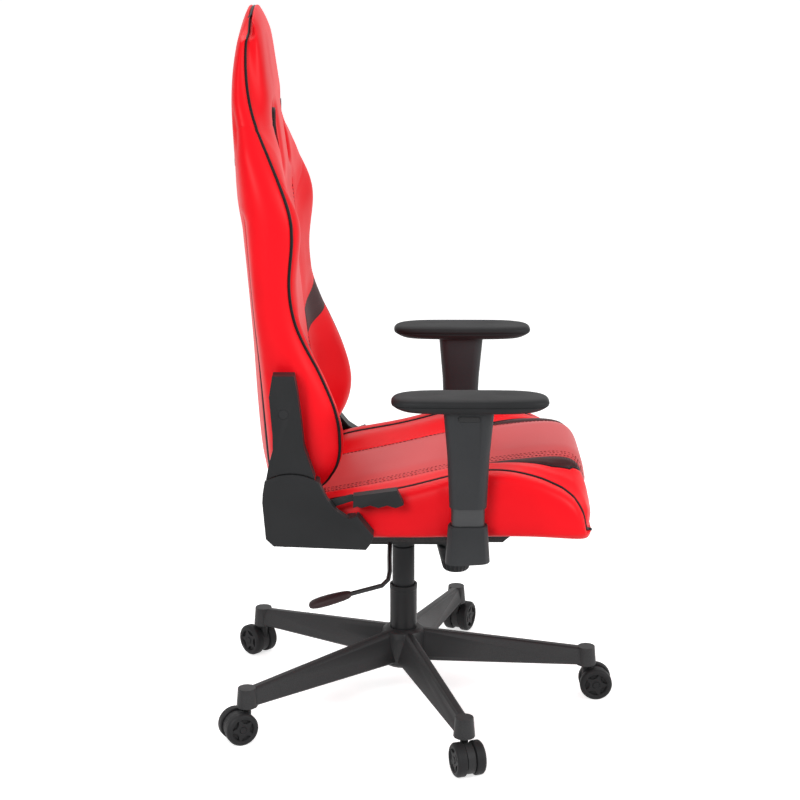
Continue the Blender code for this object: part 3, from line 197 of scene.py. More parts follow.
def stitchGrids(path, normals, look):
    # each stitch is a capsule: along = length/2 cos p, thickness = radius sqrt(sin p) round its middle line
    path, normals = evenly(path, look["pitch"], normals)
    middle = (path[:-1] + path[1:]) / 2
    tangent = path[1:] - path[:-1]
    tangent /= np.linalg.norm(tangent, axis=1, keepdims=True)
    up = normals[:-1] / np.linalg.norm(normals[:-1], axis=1, keepdims=True)
    side = np.cross(tangent, up)
    p = np.linspace(0, np.pi, 5)[:, None, None]
    a = np.linspace(0, 2 * np.pi, 6, endpoint=False)[None, :, None]
    thick = look["radius"] * np.sqrt(np.abs(np.sin(p)))
    m, t, u, s = (field[:, None, None] for field in (middle, tangent, up, side))
    return m - np.cos(p) * look["length"] / 2 * t + thick * (np.cos(a) * u * 0.8 + np.sin(a) * s) + look["lift"] * u


# finishes

def newMaterial(name):
    material = bpy.data.materials.new(name)
    material.use_nodes = True
    tree = material.node_tree
    tree.nodes.clear()
    out = tree.nodes.new("ShaderNodeOutputMaterial")
    shader = tree.nodes.new("ShaderNodeBsdfPrincipled")
    tree.links.new(shader.outputs[0], out.inputs[0])
    return material, tree, shader


def wired(tree, kind, settings=None, **inputs):
    # a node with its settings, and its inputs given as plain values or as sockets to link
    node = tree.nodes.new("ShaderNode" + kind)
    for key, value in (settings or {}).items():
        setattr(node, key, value)
    for key, value in inputs.items():
        socket = node.inputs[int(key[1:])] if key[0] == "i" and key[1:].isdigit() else node.inputs[key]
        if isinstance(value, bpy.types.NodeSocket):
            tree.links.new(value, socket)
        else:
            socket.default_value = value
    return node


def mixedColour(tree, share, first, second):
    node = tree.nodes.new("ShaderNodeMix")
    node.data_type = "RGBA"
    for socket, value in ((node.inputs[0], share), (node.inputs[6], first), (node.inputs[7], second)):
        if isinstance(value, bpy.types.NodeSocket):
            tree.links.new(value, socket)
        elif isinstance(value, tuple):
            socket.default_value = (*value, 1)
        else:
            socket.default_value = value
    return node.outputs[2]


def maths(tree, operation, first, second=0.0, clamp=False):
    return wired(tree, "Math", {"operation": operation, "use_clamp": clamp}, i0=first, i1=second).outputs[0]


def ranged(tree, value, low, high, to=(0.0, 1.0)):
    return wired(tree, "MapRange", None, i0=value, i1=low, i2=high, i3=to[0], i4=to[1]).outputs[0]


def leather(name, look, zones=(), seamShade=False):
    # pebbled grain from two cell patterns, slow colour drift, painted shade along the seam creases, and zones where an
    # attribute is above zero
    material, tree, shader = newMaterial(name)
    place = tree.nodes.new("ShaderNodeTexCoord").outputs["Object"]
    drift = wired(tree, "TexNoise", None, Vector=place, Scale=look["drift"], Detail=3.0).outputs[0]
    cells = wired(tree, "TexVoronoi", None, Vector=place, Scale=look["grain"]).outputs["Distance"]
    fine = wired(tree, "TexNoise", None, Vector=place, Scale=look["grain"] * 2.3, Detail=2.0).outputs[0]
    colour = mixedColour(tree, ranged(tree, drift, 0.35, 0.65), look["colour"], look["shade"])
    rough = ranged(tree, drift, 0.3, 0.7, (look["rough"] - 0.04, look["rough"] + 0.05))
    for attribute, zoneColour, zoneRough in zones:
        value = wired(tree, "Attribute", {"attribute_name": attribute}).outputs["Fac"]
        inside = ranged(tree, value, -0.00015, 0.00015)
        colour = mixedColour(tree, inside, colour, zoneColour)
        rough = ranged(tree, inside, 0.0, 1.0, (look["rough"], zoneRough)) if zoneRough else rough
    # painted shade: the leather darkens towards the seam colour where seamGap is small, standing in for shade in the
    # seam creases
    if seamShade:
        gap = wired(tree, "Attribute", {"attribute_name": "seamGap"}).outputs["Fac"]
        line = ranged(tree, gap, 0.0004, 0.0016, (0.72, 0.0))
        colour = mixedColour(tree, line, colour, look["seam"])
    speck = ranged(tree, fine, 0.35, 0.7, (0.0, 0.10))
    colour = mixedColour(tree, speck, colour, look["shade"])
    height = maths(tree, "ADD", maths(tree, "MULTIPLY", cells, 1.0), maths(tree, "MULTIPLY", fine, 0.45))
    bump = wired(tree, "Bump", None, Strength=look["bump"], Distance=0.0004, Height=height)
    tree.links.new(colour, shader.inputs["Base Color"])
    tree.links.new(rough, shader.inputs["Roughness"])
    tree.links.new(bump.outputs[0], shader.inputs["Normal"])
    shader.inputs["IOR"].default_value = 1.47
    shader.inputs["Specular IOR Level"].default_value = 0.12
    return material


def moulded(name, look):
    # spark-eroded grain of moulded plastic or powder coat: fine noise bump, slow drift, and lighter worn edges
    material, tree, shader = newMaterial(name)
    place = tree.nodes.new("ShaderNodeTexCoord").outputs["Object"]
    grain = wired(tree, "TexNoise", None, Vector=place, Scale=look["grain"], Detail=3.0, Roughness=0.6).outputs[0]
    drift = wired(tree, "TexNoise", None, Vector=place, Scale=look.get("drift", 9.0), Detail=4.0).outputs[0]
    edge = tree.nodes.new("ShaderNodeNewGeometry").outputs["Pointiness"]
    shade = tuple(channel * 0.78 for channel in look["colour"])
    colour = mixedColour(tree, ranged(tree, drift, 0.35, 0.65), look["colour"], shade)
    worn = maths(tree, "MULTIPLY", ranged(tree, edge, 0.52, 0.60), ranged(tree, grain, 0.35, 0.6, (0.2, 0.75)))
    colour = mixedColour(tree, worn, colour, look["worn"])
    rough = ranged(tree, drift, 0.3, 0.7, (look["rough"] - 0.05, look["rough"] + 0.06))
    bump = wired(tree, "Bump", None, Strength=look["bump"], Distance=0.0003, Height=grain)
    tree.links.new(colour, shader.inputs["Base Color"])
    tree.links.new(rough, shader.inputs["Roughness"])
    tree.links.new(bump.outputs[0], shader.inputs["Normal"])
    shader.inputs["Metallic"].default_value = look.get("metal", 0.0)
    shader.inputs["Specular IOR Level"].default_value = look.get("gloss", 0.2)
    return material


def brushed(name, look):
    # turned or drawn metal: noise stretched round the upright axis, so that the lines run round a tube
    material, tree, shader = newMaterial(name)
    place = tree.nodes.new("ShaderNodeTexCoord").outputs["Object"]
    lines = wired(tree, "Mapping", None, Vector=place, Scale=look["stretch"]).outputs[0]
    grain = wired(tree, "TexNoise", None, Vector=lines, Scale=look["grain"], Detail=4.0).outputs[0]
    shade = tuple(channel * 0.8 for channel in look["colour"])
    tree.links.new(mixedColour(tree, grain, look["colour"], shade), shader.inputs["Base Color"])
    tree.links.new(ranged(tree, grain, 0.3, 0.7, (look["rough"] - 0.06, look["rough"] + 0.08)), shader.inputs["Roughness"])
    bump = wired(tree, "Bump", None, Strength=0.12, Distance=0.0002, Height=grain)
    tree.links.new(bump.outputs[0], shader.inputs["Normal"])
    shader.inputs["Metallic"].default_value = look.get("metal", 1.0)
    return material


finishes = {
    # seam: painted shade laid along the seam creases
    "red": {"colour": (0.88, 0.006, 0.013), "shade": (0.76, 0.005, 0.011), "seam": (0.16, 0.004, 0.006),
            "grain": 620.0, "drift": 5.0, "rough": 0.40, "bump": 0.16},
    # panel: a pale desaturated pink that paints the grazing sheen on the middle panel's top into its colour
    "panel": (0.60, 0.085, 0.088),
    "black": (0.011, 0.011, 0.012),
    # seam: painted shade for the seam creases
    "trim": {"colour": (0.012, 0.012, 0.013), "shade": (0.008, 0.008, 0.009), "seam": (0.004, 0.004, 0.004),
             "grain": 900.0, "drift": 14.0, "rough": 0.42, "bump": 0.18},
    "thread": {"colour": (0.11, 0.006, 0.009), "worn": (0.16, 0.015, 0.016), "grain": 4000.0, "rough": 0.7, "bump": 0.3},
    "plastic": {"colour": (0.021, 0.022, 0.024), "worn": (0.050, 0.052, 0.055), "grain": 1500.0, "rough": 0.50, "bump": 0.22},
    "cover": {"colour": (0.013, 0.0135, 0.0145), "worn": (0.040, 0.041, 0.043), "grain": 1500.0, "rough": 0.46, "bump": 0.22, "gloss": 0.17},
    "nylon": {"colour": (0.017, 0.017, 0.018), "worn": (0.045, 0.045, 0.046), "grain": 1100.0, "rough": 0.47, "bump": 0.25},
    "tread": {"colour": (0.014, 0.014, 0.015), "worn": (0.035, 0.035, 0.036), "grain": 1700.0, "rough": 0.55, "bump": 0.2},
    "pad": {"colour": (0.014, 0.0145, 0.0155), "worn": (0.030, 0.031, 0.032), "grain": 780.0, "rough": 0.56, "bump": 0.30, "gloss": 0.17},
    "steel": {"colour": (0.012, 0.012, 0.013), "worn": (0.04, 0.04, 0.04), "grain": 420.0, "rough": 0.42, "bump": 0.2},
    "lever": {"colour": (0.024, 0.010, 0.011), "worn": (0.05, 0.03, 0.03), "grain": 1500.0, "rough": 0.5, "bump": 0.2},
    "bush": {"colour": (0.55, 0.53, 0.47), "worn": (0.7, 0.69, 0.64), "grain": 900.0, "rough": 0.5, "bump": 0.1},
    "bright": {"colour": (0.56, 0.56, 0.58), "rough": 0.28, "grain": 40.0, "stretch": (1.0, 1.0, 60.0)},
    "band": {"colour": (0.050, 0.051, 0.053), "rough": 0.40, "grain": 40.0, "stretch": (1.0, 1.0, 60.0), "metal": 0.6},
}
# the middle panel zone takes that painted sheen colour; the last argument of the seat leather turns on the painted
# crease shade
seatZones = (("panelZone", finishes["panel"], 0.46), ("blackZone", finishes["black"], 0.42))
seatLeather = leather("Seat leather", finishes["red"], seatZones, True)
backLeather = leather("Back leather", finishes["red"], (("blackZone", finishes["black"], 0.42),), True)
trimLeather = leather("Piping leather", finishes["trim"])
threadMaterial = moulded("Stitch thread", finishes["thread"])
plastic = moulded("Charcoal plastic", finishes["plastic"])
coverPlastic = moulded("Cover plastic", finishes["cover"])
nylon = moulded("Glass-filled nylon", finishes["nylon"])
tread = moulded("Caster tread", finishes["tread"])
padSkin = moulded("Armrest skin", finishes["pad"])
steel = moulded("Powder-coated steel", finishes["steel"])
leverPlastic = moulded("Lever paddle plastic", finishes["lever"])
bushPlastic = moulded("Guide bush plastic", finishes["bush"])
brightSteel = brushed("Brushed steel", finishes["bright"])
satinBand = brushed("Satin aluminium", finishes["band"])
print("finishes ready")


# padded covers

def puffed(name, grid, pinned, settings):
    # blows the cover up with Cloth pressure while its seams are held, and returns how far each point moved
    rows, columns = grid.shape[:2]
    cover = newPiece(name, grid, gridQuads(rows, columns))
    mesh = cover.data
    count = len(mesh.vertices)
    start = np.zeros(count * 3, np.float32)
    mesh.vertices.foreach_get("co", start)
    start = start.reshape(-1, 3)
    held = np.zeros(count)
    mesh.attributes.new("held", "FLOAT", "POINT")
    tree = fkTree(grid.reshape(-1, 3))
    nearest = tree(start)
    held = pinned.ravel()[nearest]
    group = cover.vertex_groups.new(name="sewn")
    for level in np.linspace(0.1, 1, 10):
        members = np.nonzero(np.abs(held - level) <= 0.05)[0]
        if len(members):
            group.add(members.tolist(), float(level), "REPLACE")
    cloth = cover.modifiers.new("Cloth", "CLOTH")
    cloth.settings.quality = settings["quality"]
    cloth.settings.mass = 0.3
    cloth.settings.tension_stiffness = settings["stiffness"]
    cloth.settings.compression_stiffness = settings["stiffness"]
    cloth.settings.bending_stiffness = settings["bending"]
    cloth.settings.use_pressure = True
    cloth.settings.uniform_pressure_force = settings["pressure"]
    cloth.settings.vertex_group_mass = "sewn"
    cloth.settings.pin_stiffness = 4.0
    cloth.settings.effector_weights.gravity = 0.0
    cloth.collision_settings.use_collision = False
    cloth.point_cache.frame_start, cloth.point_cache.frame_end = 1, settings["frames"]
    for number in range(1, settings["frames"] + 1):
        scene.frame_set(number)
    result = cover.evaluated_get(bpy.context.evaluated_depsgraph_get()).to_mesh()
    moved = np.zeros(count * 3, np.float32)
    result.vertices.foreach_get("co", moved)
    scene.frame_set(1)
    bpy.data.objects.remove(cover)
    shift = moved.reshape(-1, 3) - start
    back = fkTree(start)(grid.reshape(-1, 3))
    return shift[back].reshape(grid.shape)


def settled(name, shift, outward, foam, cap):
    # movement along the normals only: the foam behind holds the cover out by at least its own share
    push = (shift * outward).sum(2)
    print(name, "moved by", (np.percentile(push, (5, 50, 95)) * 1000).round(1), "mm")
    push = np.clip(push, foam, cap)
    for _ in range(5):
        push = (np.roll(push, 1, 1) + push + np.roll(push, -1, 1)) / 3
        push[1:-1] = (push[:-2] + push[1:-1] + push[2:]) / 3
    return outward * push[:, :, None]


def fkTree(points):
    # nearest-point lookup over points, by index
    from mathutils.kdtree import KDTree
    tree = KDTree(len(points))
    for index, point in enumerate(points):
        tree.insert(point, index)
    tree.balance()
    return lambda others: np.array([tree.find(other)[1] for other in others])


def resampled(field, rows, columns):
    # the field on a finer grid, linear along rows and wrapped round columns
    i = np.linspace(0, len(field) - 1, rows)
    j = np.arange(columns) * field.shape[1] / columns
    return gridAt(field, np.repeat(i, columns), np.tile(j, rows)).reshape(rows, columns, 3)


def endRows(ring, push, rows):
    # closes a ring: it shrinks to its middle as cos while it moves along push as sin, a quarter of an ellipse
    turn = np.linspace(0, np.pi / 2, rows + 1)[1:, None, None]
    middle = ring.mean(0)
    return middle + (ring - middle) * np.cos(turn) + np.asarray(push) * np.sin(turn)


seat = {
    "sections": np.array([
        # x, underside, middle panel, bolster top, half width
        (-0.152, 0.3935, 0.434, 0.440, 0.226), (-0.140, 0.3915, 0.439, 0.451, 0.246),
        (-0.100, 0.3908, 0.446, 0.463, 0.253), (0.000, 0.3905, 0.467, 0.477, 0.257),
        (0.075, 0.3915, 0.486, 0.501, 0.258), (0.150, 0.3925, 0.497, 0.515, 0.258),
        (0.210, 0.3925, 0.505, 0.505, 0.257), (0.262, 0.3890, 0.511, 0.484, 0.254),
        (0.302, 0.3850, 0.508, 0.462, 0.248), (0.319, 0.3830, 0.482, 0.436, 0.236),
        (0.325, 0.3900, 0.440, 0.420, 0.214)]),
    "halfWidth": 0.256, "grooveY": 0.128,
    "rows": 240, "columns": 380, "simRows": 84, "simColumns": 132,
    "cloth": {"pressure": 4.0, "quality": 5, "stiffness": 25.0, "bending": 0.5, "frames": 20, "cap": 0.0065},
    "startSmaller": 0.0035, "foam": 0.0048, "valley": 0.0032, "valleyWidth": 0.0045,
    "pipingRadius": 0.0027, "wedgeStart": 0.118, "wedgeFull": 0.262,
    "stitch": {"pitch": 0.0072, "length": 0.0048, "radius": 0.0007, "lift": 0.0002},
    "stitchRows": (0.0045, 0.0105, 0.0165),
}


def seatControl(settings):
    # ten points on each side of a section, from the underside round the bolster to the middle panel
    x, low, middle, side, half = settings["sections"].T
    share = half / settings["halfWidth"]
    groove = settings["grooveY"] * share
    across = np.stack([0 * x + 0.080, half - 0.040, half - 0.003, half, half - 0.006, half - 0.024, half - 0.060,
                       groove + 0.022, groove, 0 * x + 0.060], 1)
    up = np.stack([low, low - 0.0015, low + 0.001, low + 0.50 * (side - low), side - 0.010, side, side + 0.10 * (middle - side),
                   side + 0.70 * (middle - side), middle, middle + 0.001], 1)
    across = np.concatenate([across, -across[:, ::-1]], 1)
    up = np.concatenate([up, up[:, ::-1]], 1)
    return np.stack([np.repeat(x[:, None], 20, 1), across, up], 2)


def seatGrid(settings, rows, columns):
    # point(u, v) = cubic B-spline through the sections (u) and round each ring (v), with rounded ends
    control = seatControl(settings)
    u = np.linspace(0, len(control) - 1, rows)
    v = np.arange(columns) * 20 / columns
    body = np.einsum("ui,ijk,vj->uvk", splineWeights(len(control), u, False), control, splineWeights(20, v, True))
    front = endRows(body[-1], (0.0035, 0, 0), 10)
    rear = endRows(body[0], (-0.004, 0, 0), 6)[::-1]
    return np.concatenate([rear, body, front]), np.concatenate([-np.ones(6), u, np.full(10, u[-1])])


def makeSeat():
    wide = seat["columns"]
    grid, u = seatGrid(seat, seat["rows"], wide)
    x = np.interp(np.clip(u, 0, None), np.arange(11), seat["sections"][:, 0])
    perColumn = wide / 20
    # seams as columns of the grid: outer piping, edge of the middle panel, outer edge of the black wedge
    piping = np.interp(x, [-0.152, 0.240, 0.275, 0.300, 0.313, 0.320, 0.325], [5.55, 5.60, 5.45, 5.05, 4.2, 2.9, 2.6])
    panel = np.full(len(u), 8.05)
    wedge = np.interp(x, [seat["wedgeStart"], seat["wedgeFull"], 0.296, 0.312, 0.321], [8.05, 6.95, 7.05, 7.55, 8.05])
    gaps = {}
    for word, line in (("piping", piping), ("panel", panel), ("wedge", wedge)):
        right = ringDistance(grid, line * perColumn)
        left = ringDistance(grid, (19 - line) * perColumn)
        gaps[word] = (right, left)
    nearest = {word: np.minimum(np.abs(a), np.abs(b)) for word, (a, b) in gaps.items()}
    panelZone = np.minimum(gaps["panel"][0], -gaps["panel"][1])
    hasWedge = x[:, None] - seat["wedgeStart"]
    right = np.minimum(gaps["wedge"][0], -gaps["panel"][0])
    left = np.minimum(-gaps["wedge"][1], gaps["panel"][1])
    blackZone = np.minimum(np.maximum(right, left), hasWedge)
    wedgeSeam = np.where(hasWedge > 0, nearest["wedge"], 1.0)
    top = grid[:, :, 2] > 0.400
    seam = np.where(top, np.minimum(np.minimum(nearest["piping"], nearest["panel"]), wedgeSeam), 1.0)

    # room for the recliner plates and the armrest sleeves beside the cushion
    flank = smoothstep(0.232, 0.246, np.abs(grid[:, :, 1]))
    byRecliner = 1 - smoothstep(-0.10, -0.05, grid[:, :, 0])
    bySleeve = smoothstep(0.055, 0.075, grid[:, :, 0]) * (1 - smoothstep(0.145, 0.165, grid[:, :, 0]))
    crowded = np.maximum(byRecliner, bySleeve)
    free = 1 - flank * crowded
    underside = 1 - smoothstep(0.393, 0.402, grid[:, :, 2])
    pinned = np.maximum.reduce([1 - smoothstep(0.003, 0.016, seam), 1 - free, underside])

    outward = normalsOf(grid)
    if (outward[:, :, 2] * (grid[:, :, 2] - 0.44)).sum() < 0:
        outward = -outward
    inner = grid - outward * (seat["startSmaller"] * free * (1 - underside))[:, :, None]
    foam = seat["foam"] * smoothstep(0.004, 0.045, seam)
    shift = outward * foam[:, :, None]
    rows, columns = seat["simRows"], seat["simColumns"]
    pick = np.linspace(0, len(grid) - 1, rows).round().astype(int)
    around = (np.arange(columns) * wide / columns).round().astype(int)
    shift = puffed("seatCloth", inner[np.ix_(pick, around)], pinned[np.ix_(pick, around)], seat["cloth"])
    shift = settled("seat cover", resampled(shift, len(grid), wide), outward, foam, seat["cloth"]["cap"])
    shift *= (free * (1 - underside))[:, :, None]
    valley = seat["valley"] * np.exp(-(seam / seat["valleyWidth"]) ** 2)
    skin = inner + shift - outward * valley[:, :, None]

    # dimples between the two stitch rows at the panel edge, as the thread pulls the foam in
    wave = 1 + np.cos(grid[:, :, 0] * 2 * np.pi / 0.0052)
    ripple = np.exp(-((nearest["panel"] - 0.009) / 0.007) ** 2) * 0.0005 * wave * top
    skin = skin - outward * ripple[:, :, None]
    # the middle panel's zone takes the painted sheen colour, and seamGap sets the reach of the painted crease shade
    # along the seams
    zones = {"panelZone": panelZone, "blackZone": blackZone, "seamGap": seam}
    cushion = newPiece("seatUpholstery", skin, gridQuads(len(skin), wide), zones)
    dress(cushion, seatLeather, "seat", ["seat_cushion"])

    tubes, threads = [], []
    normals = normalsOf(skin)
    if (normals * outward).sum() < 0:
        normals = -normals
    rows = np.arange(len(u))
    onTop = (u > 0.6) & (rows < len(u) - 10)
    for mirror in (False, True):
        line = (19 - piping if mirror else piping) * perColumn
        path, up = gridAt(skin, rows[onTop], line[onTop]), gridAt(normals, rows[onTop], line[onTop])
        path, up = evenly(path, 0.004, up)
        tubes.append(tubeGrid(path + up * seat["pipingRadius"] * 0.55, up, seat["pipingRadius"]))
        inWedge = onTop & (x > seat["wedgeStart"] + 0.004)
        line = (19 - wedge if mirror else wedge) * perColumn
        path, up = gridAt(skin, rows[inWedge], line[inWedge]), gridAt(normals, rows[inWedge], line[inWedge])
        path, up = evenly(path, 0.004, up)
        tubes.append(tubeGrid(path + up * 0.0006, up, 0.0017))
        run = ringDistance(skin, (19 - panel if mirror else panel) * perColumn)
        for offset in seat["stitchRows"]:
            want = -offset if mirror else offset
            column = np.array([np.interp(want, r, np.arange(wide)) for r in run])
            path, up = gridAt(skin, rows[onTop], column[onTop]), gridAt(normals, rows[onTop], column[onTop])
            threads.append(stitchGrids(path, up, seat["stitch"]))
    dress(newPiece("seatPiping", *joined(tubes)), trimLeather, "seat")
    stitches = np.concatenate(threads)
    dress(newPiece("seatStitches", *joined(list(stitches))), threadMaterial, "seat")
    print("seat cover, piping and", len(stitches), "stitches")


back = {
    "sections": np.array([
        # z, rear, half width, wing crest x, wing crest y, middle panel x
        (0.458, -0.238, 0.200, -0.163, 0.170, -0.170), (0.476, -0.250, 0.228, -0.126, 0.198, -0.168),
        (0.510, -0.258, 0.246, -0.099, 0.214, -0.166), (0.560, -0.262, 0.250, -0.088, 0.218, -0.162),
        (0.620, -0.266, 0.251, -0.102, 0.219, -0.168), (0.690, -0.269, 0.251, -0.135, 0.219, -0.177),
        (0.760, -0.274, 0.252, -0.171, 0.219, -0.185), (0.840, -0.280, 0.254, -0.180, 0.221, -0.193),
        (0.920, -0.287, 0.256, -0.159, 0.223, -0.195), (0.985, -0.291, 0.250, -0.184, 0.219, -0.203),
        (1.050, -0.295, 0.228, -0.218, 0.202, -0.211), (1.110, -0.296, 0.198, -0.246, 0.178, -0.219),
        (1.170, -0.292, 0.172, -0.257, 0.154, -0.227), (1.225, -0.281, 0.152, -0.257, 0.134, -0.234),
        (1.260, -0.271, 0.118, -0.254, 0.100, -0.243), (1.275, -0.263, 0.078, -0.257, 0.066, -0.253)]),
    "grooveY": 0.128, "rearRounding": 0.013,
    "rows": 280, "columns": 330, "simRows": 104, "simColumns": 120,
    "cloth": {"pressure": 4.0, "quality": 5, "stiffness": 25.0, "bending": 0.5, "frames": 20, "cap": 0.0065},
    "startSmaller": 0.0035, "foam": 0.0050, "valley": 0.0026, "valleyWidth": 0.0045, "crease": 0.0010, "creaseWidth": 0.003,
    "pipingRadius": 0.0028,
    "pipingLine": ((0.458, 5.5), (0.51, 5.5), (0.56, 5.35), (0.62, 5.55), (0.69, 5.6), (0.76, 5.25), (0.84, 5.1),
                   (0.92, 5.0), (0.985, 5.2), (1.05, 5.45), (1.11, 5.5), (1.17, 5.6), (1.277, 5.6)),
    "trimTop": 0.945, "trimColumn": 1.75, "trimWidth": (0.006, 0.020), "rearSwell": -0.004, "crownFall": 0.011,
    "accentStart": 6.08, "grooveColumn": 9.0, "grooveTop": 0.965,
    "bezelRear": -0.2885, "slotY": 0.075, "slotWidth": 0.032, "slotLow": 1.008, "slotHigh": 1.108,
    "stitch": {"pitch": 0.0072, "length": 0.0048, "radius": 0.0007, "lift": 0.0002},
}


def backControl(settings):
    # eleven points on each side of a level, from the rear panel round the wing to the middle panel
    z, rear, half, crestX, crestY, middle = settings["sections"].T
    depth, slope = crestX - rear, crestY - settings["grooveY"]
    fall = settings["rearRounding"] * np.minimum(1, depth / 0.080)
    x = np.stack([rear, rear + fall, rear + fall + 0.08 * depth, rear + 0.5 * fall + 0.32 * depth, rear + 0.70 * depth, crestX - 0.10 * depth,
                  crestX, crestX + 0.30 * (middle - crestX), crestX + 0.85 * (middle - crestX), middle, middle], 1)
    y = np.stack([0 * z + 0.045, 0.62 * half, 0.90 * half, half, half, half - 0.30 * (half - crestY), crestY,
                  crestY - 0.35 * slope, crestY - 0.80 * slope, 0.5 * crestY, 0 * z + 0.040], 1)
    x = np.concatenate([x, x[:, ::-1]], 1)
    y = np.concatenate([y, -y[:, ::-1]], 1)
    return np.stack([x, y, np.repeat(z[:, None], 22, 1)], 2)


def backGrid(settings, rows, columns):
    # point(u, v) = cubic B-spline up the levels (u) and round each ring (v), closed at the foot and over the head
    control = backControl(settings)
    u = np.linspace(0, len(control) - 1, rows)
    v = np.arange(columns) * 22 / columns
    body = np.einsum("ui,ijk,vj->uvk", splineWeights(len(control), u, False), control, splineWeights(22, v, True))
    head = endRows(body[-1], (0, 0, 0.0025), 10)
    foot = endRows(body[0], (0, 0, -0.004), 6)[::-1]
    return np.concatenate([foot, body, head]), np.concatenate([np.zeros(6), u, np.full(10, u[-1])])


def slotCutter(side):
    # rounded slot outline carried straight through the backrest
    half, tall = back["slotWidth"] / 2 + 0.0002, (back["slotHigh"] - back["slotLow"]) / 2 + 0.0002
    middle = (back["slotHigh"] + back["slotLow"]) / 2
    angle = np.linspace(0, 2 * np.pi, 64, endpoint=False)
    corner = 0.012
    y = side * back["slotY"] + np.sign(np.cos(angle)) * (half - corner) + corner * np.cos(angle)
    z = middle + np.sign(np.sin(angle)) * (tall - corner) + corner * np.sin(angle)
    ring = np.stack([0 * y, y, z], 1)
    ends = [np.array([x, 0, 0]) for x in (-0.36, -0.30, -0.16)]
    centre = ring.mean(0)
    grid = np.stack([np.tile(centre, (64, 1)) + ends[0], ring + ends[0], ring + ends[2], np.tile(centre, (64, 1)) + ends[2]])
    return newPiece("slotCutter", grid, gridQuads(4, 64))


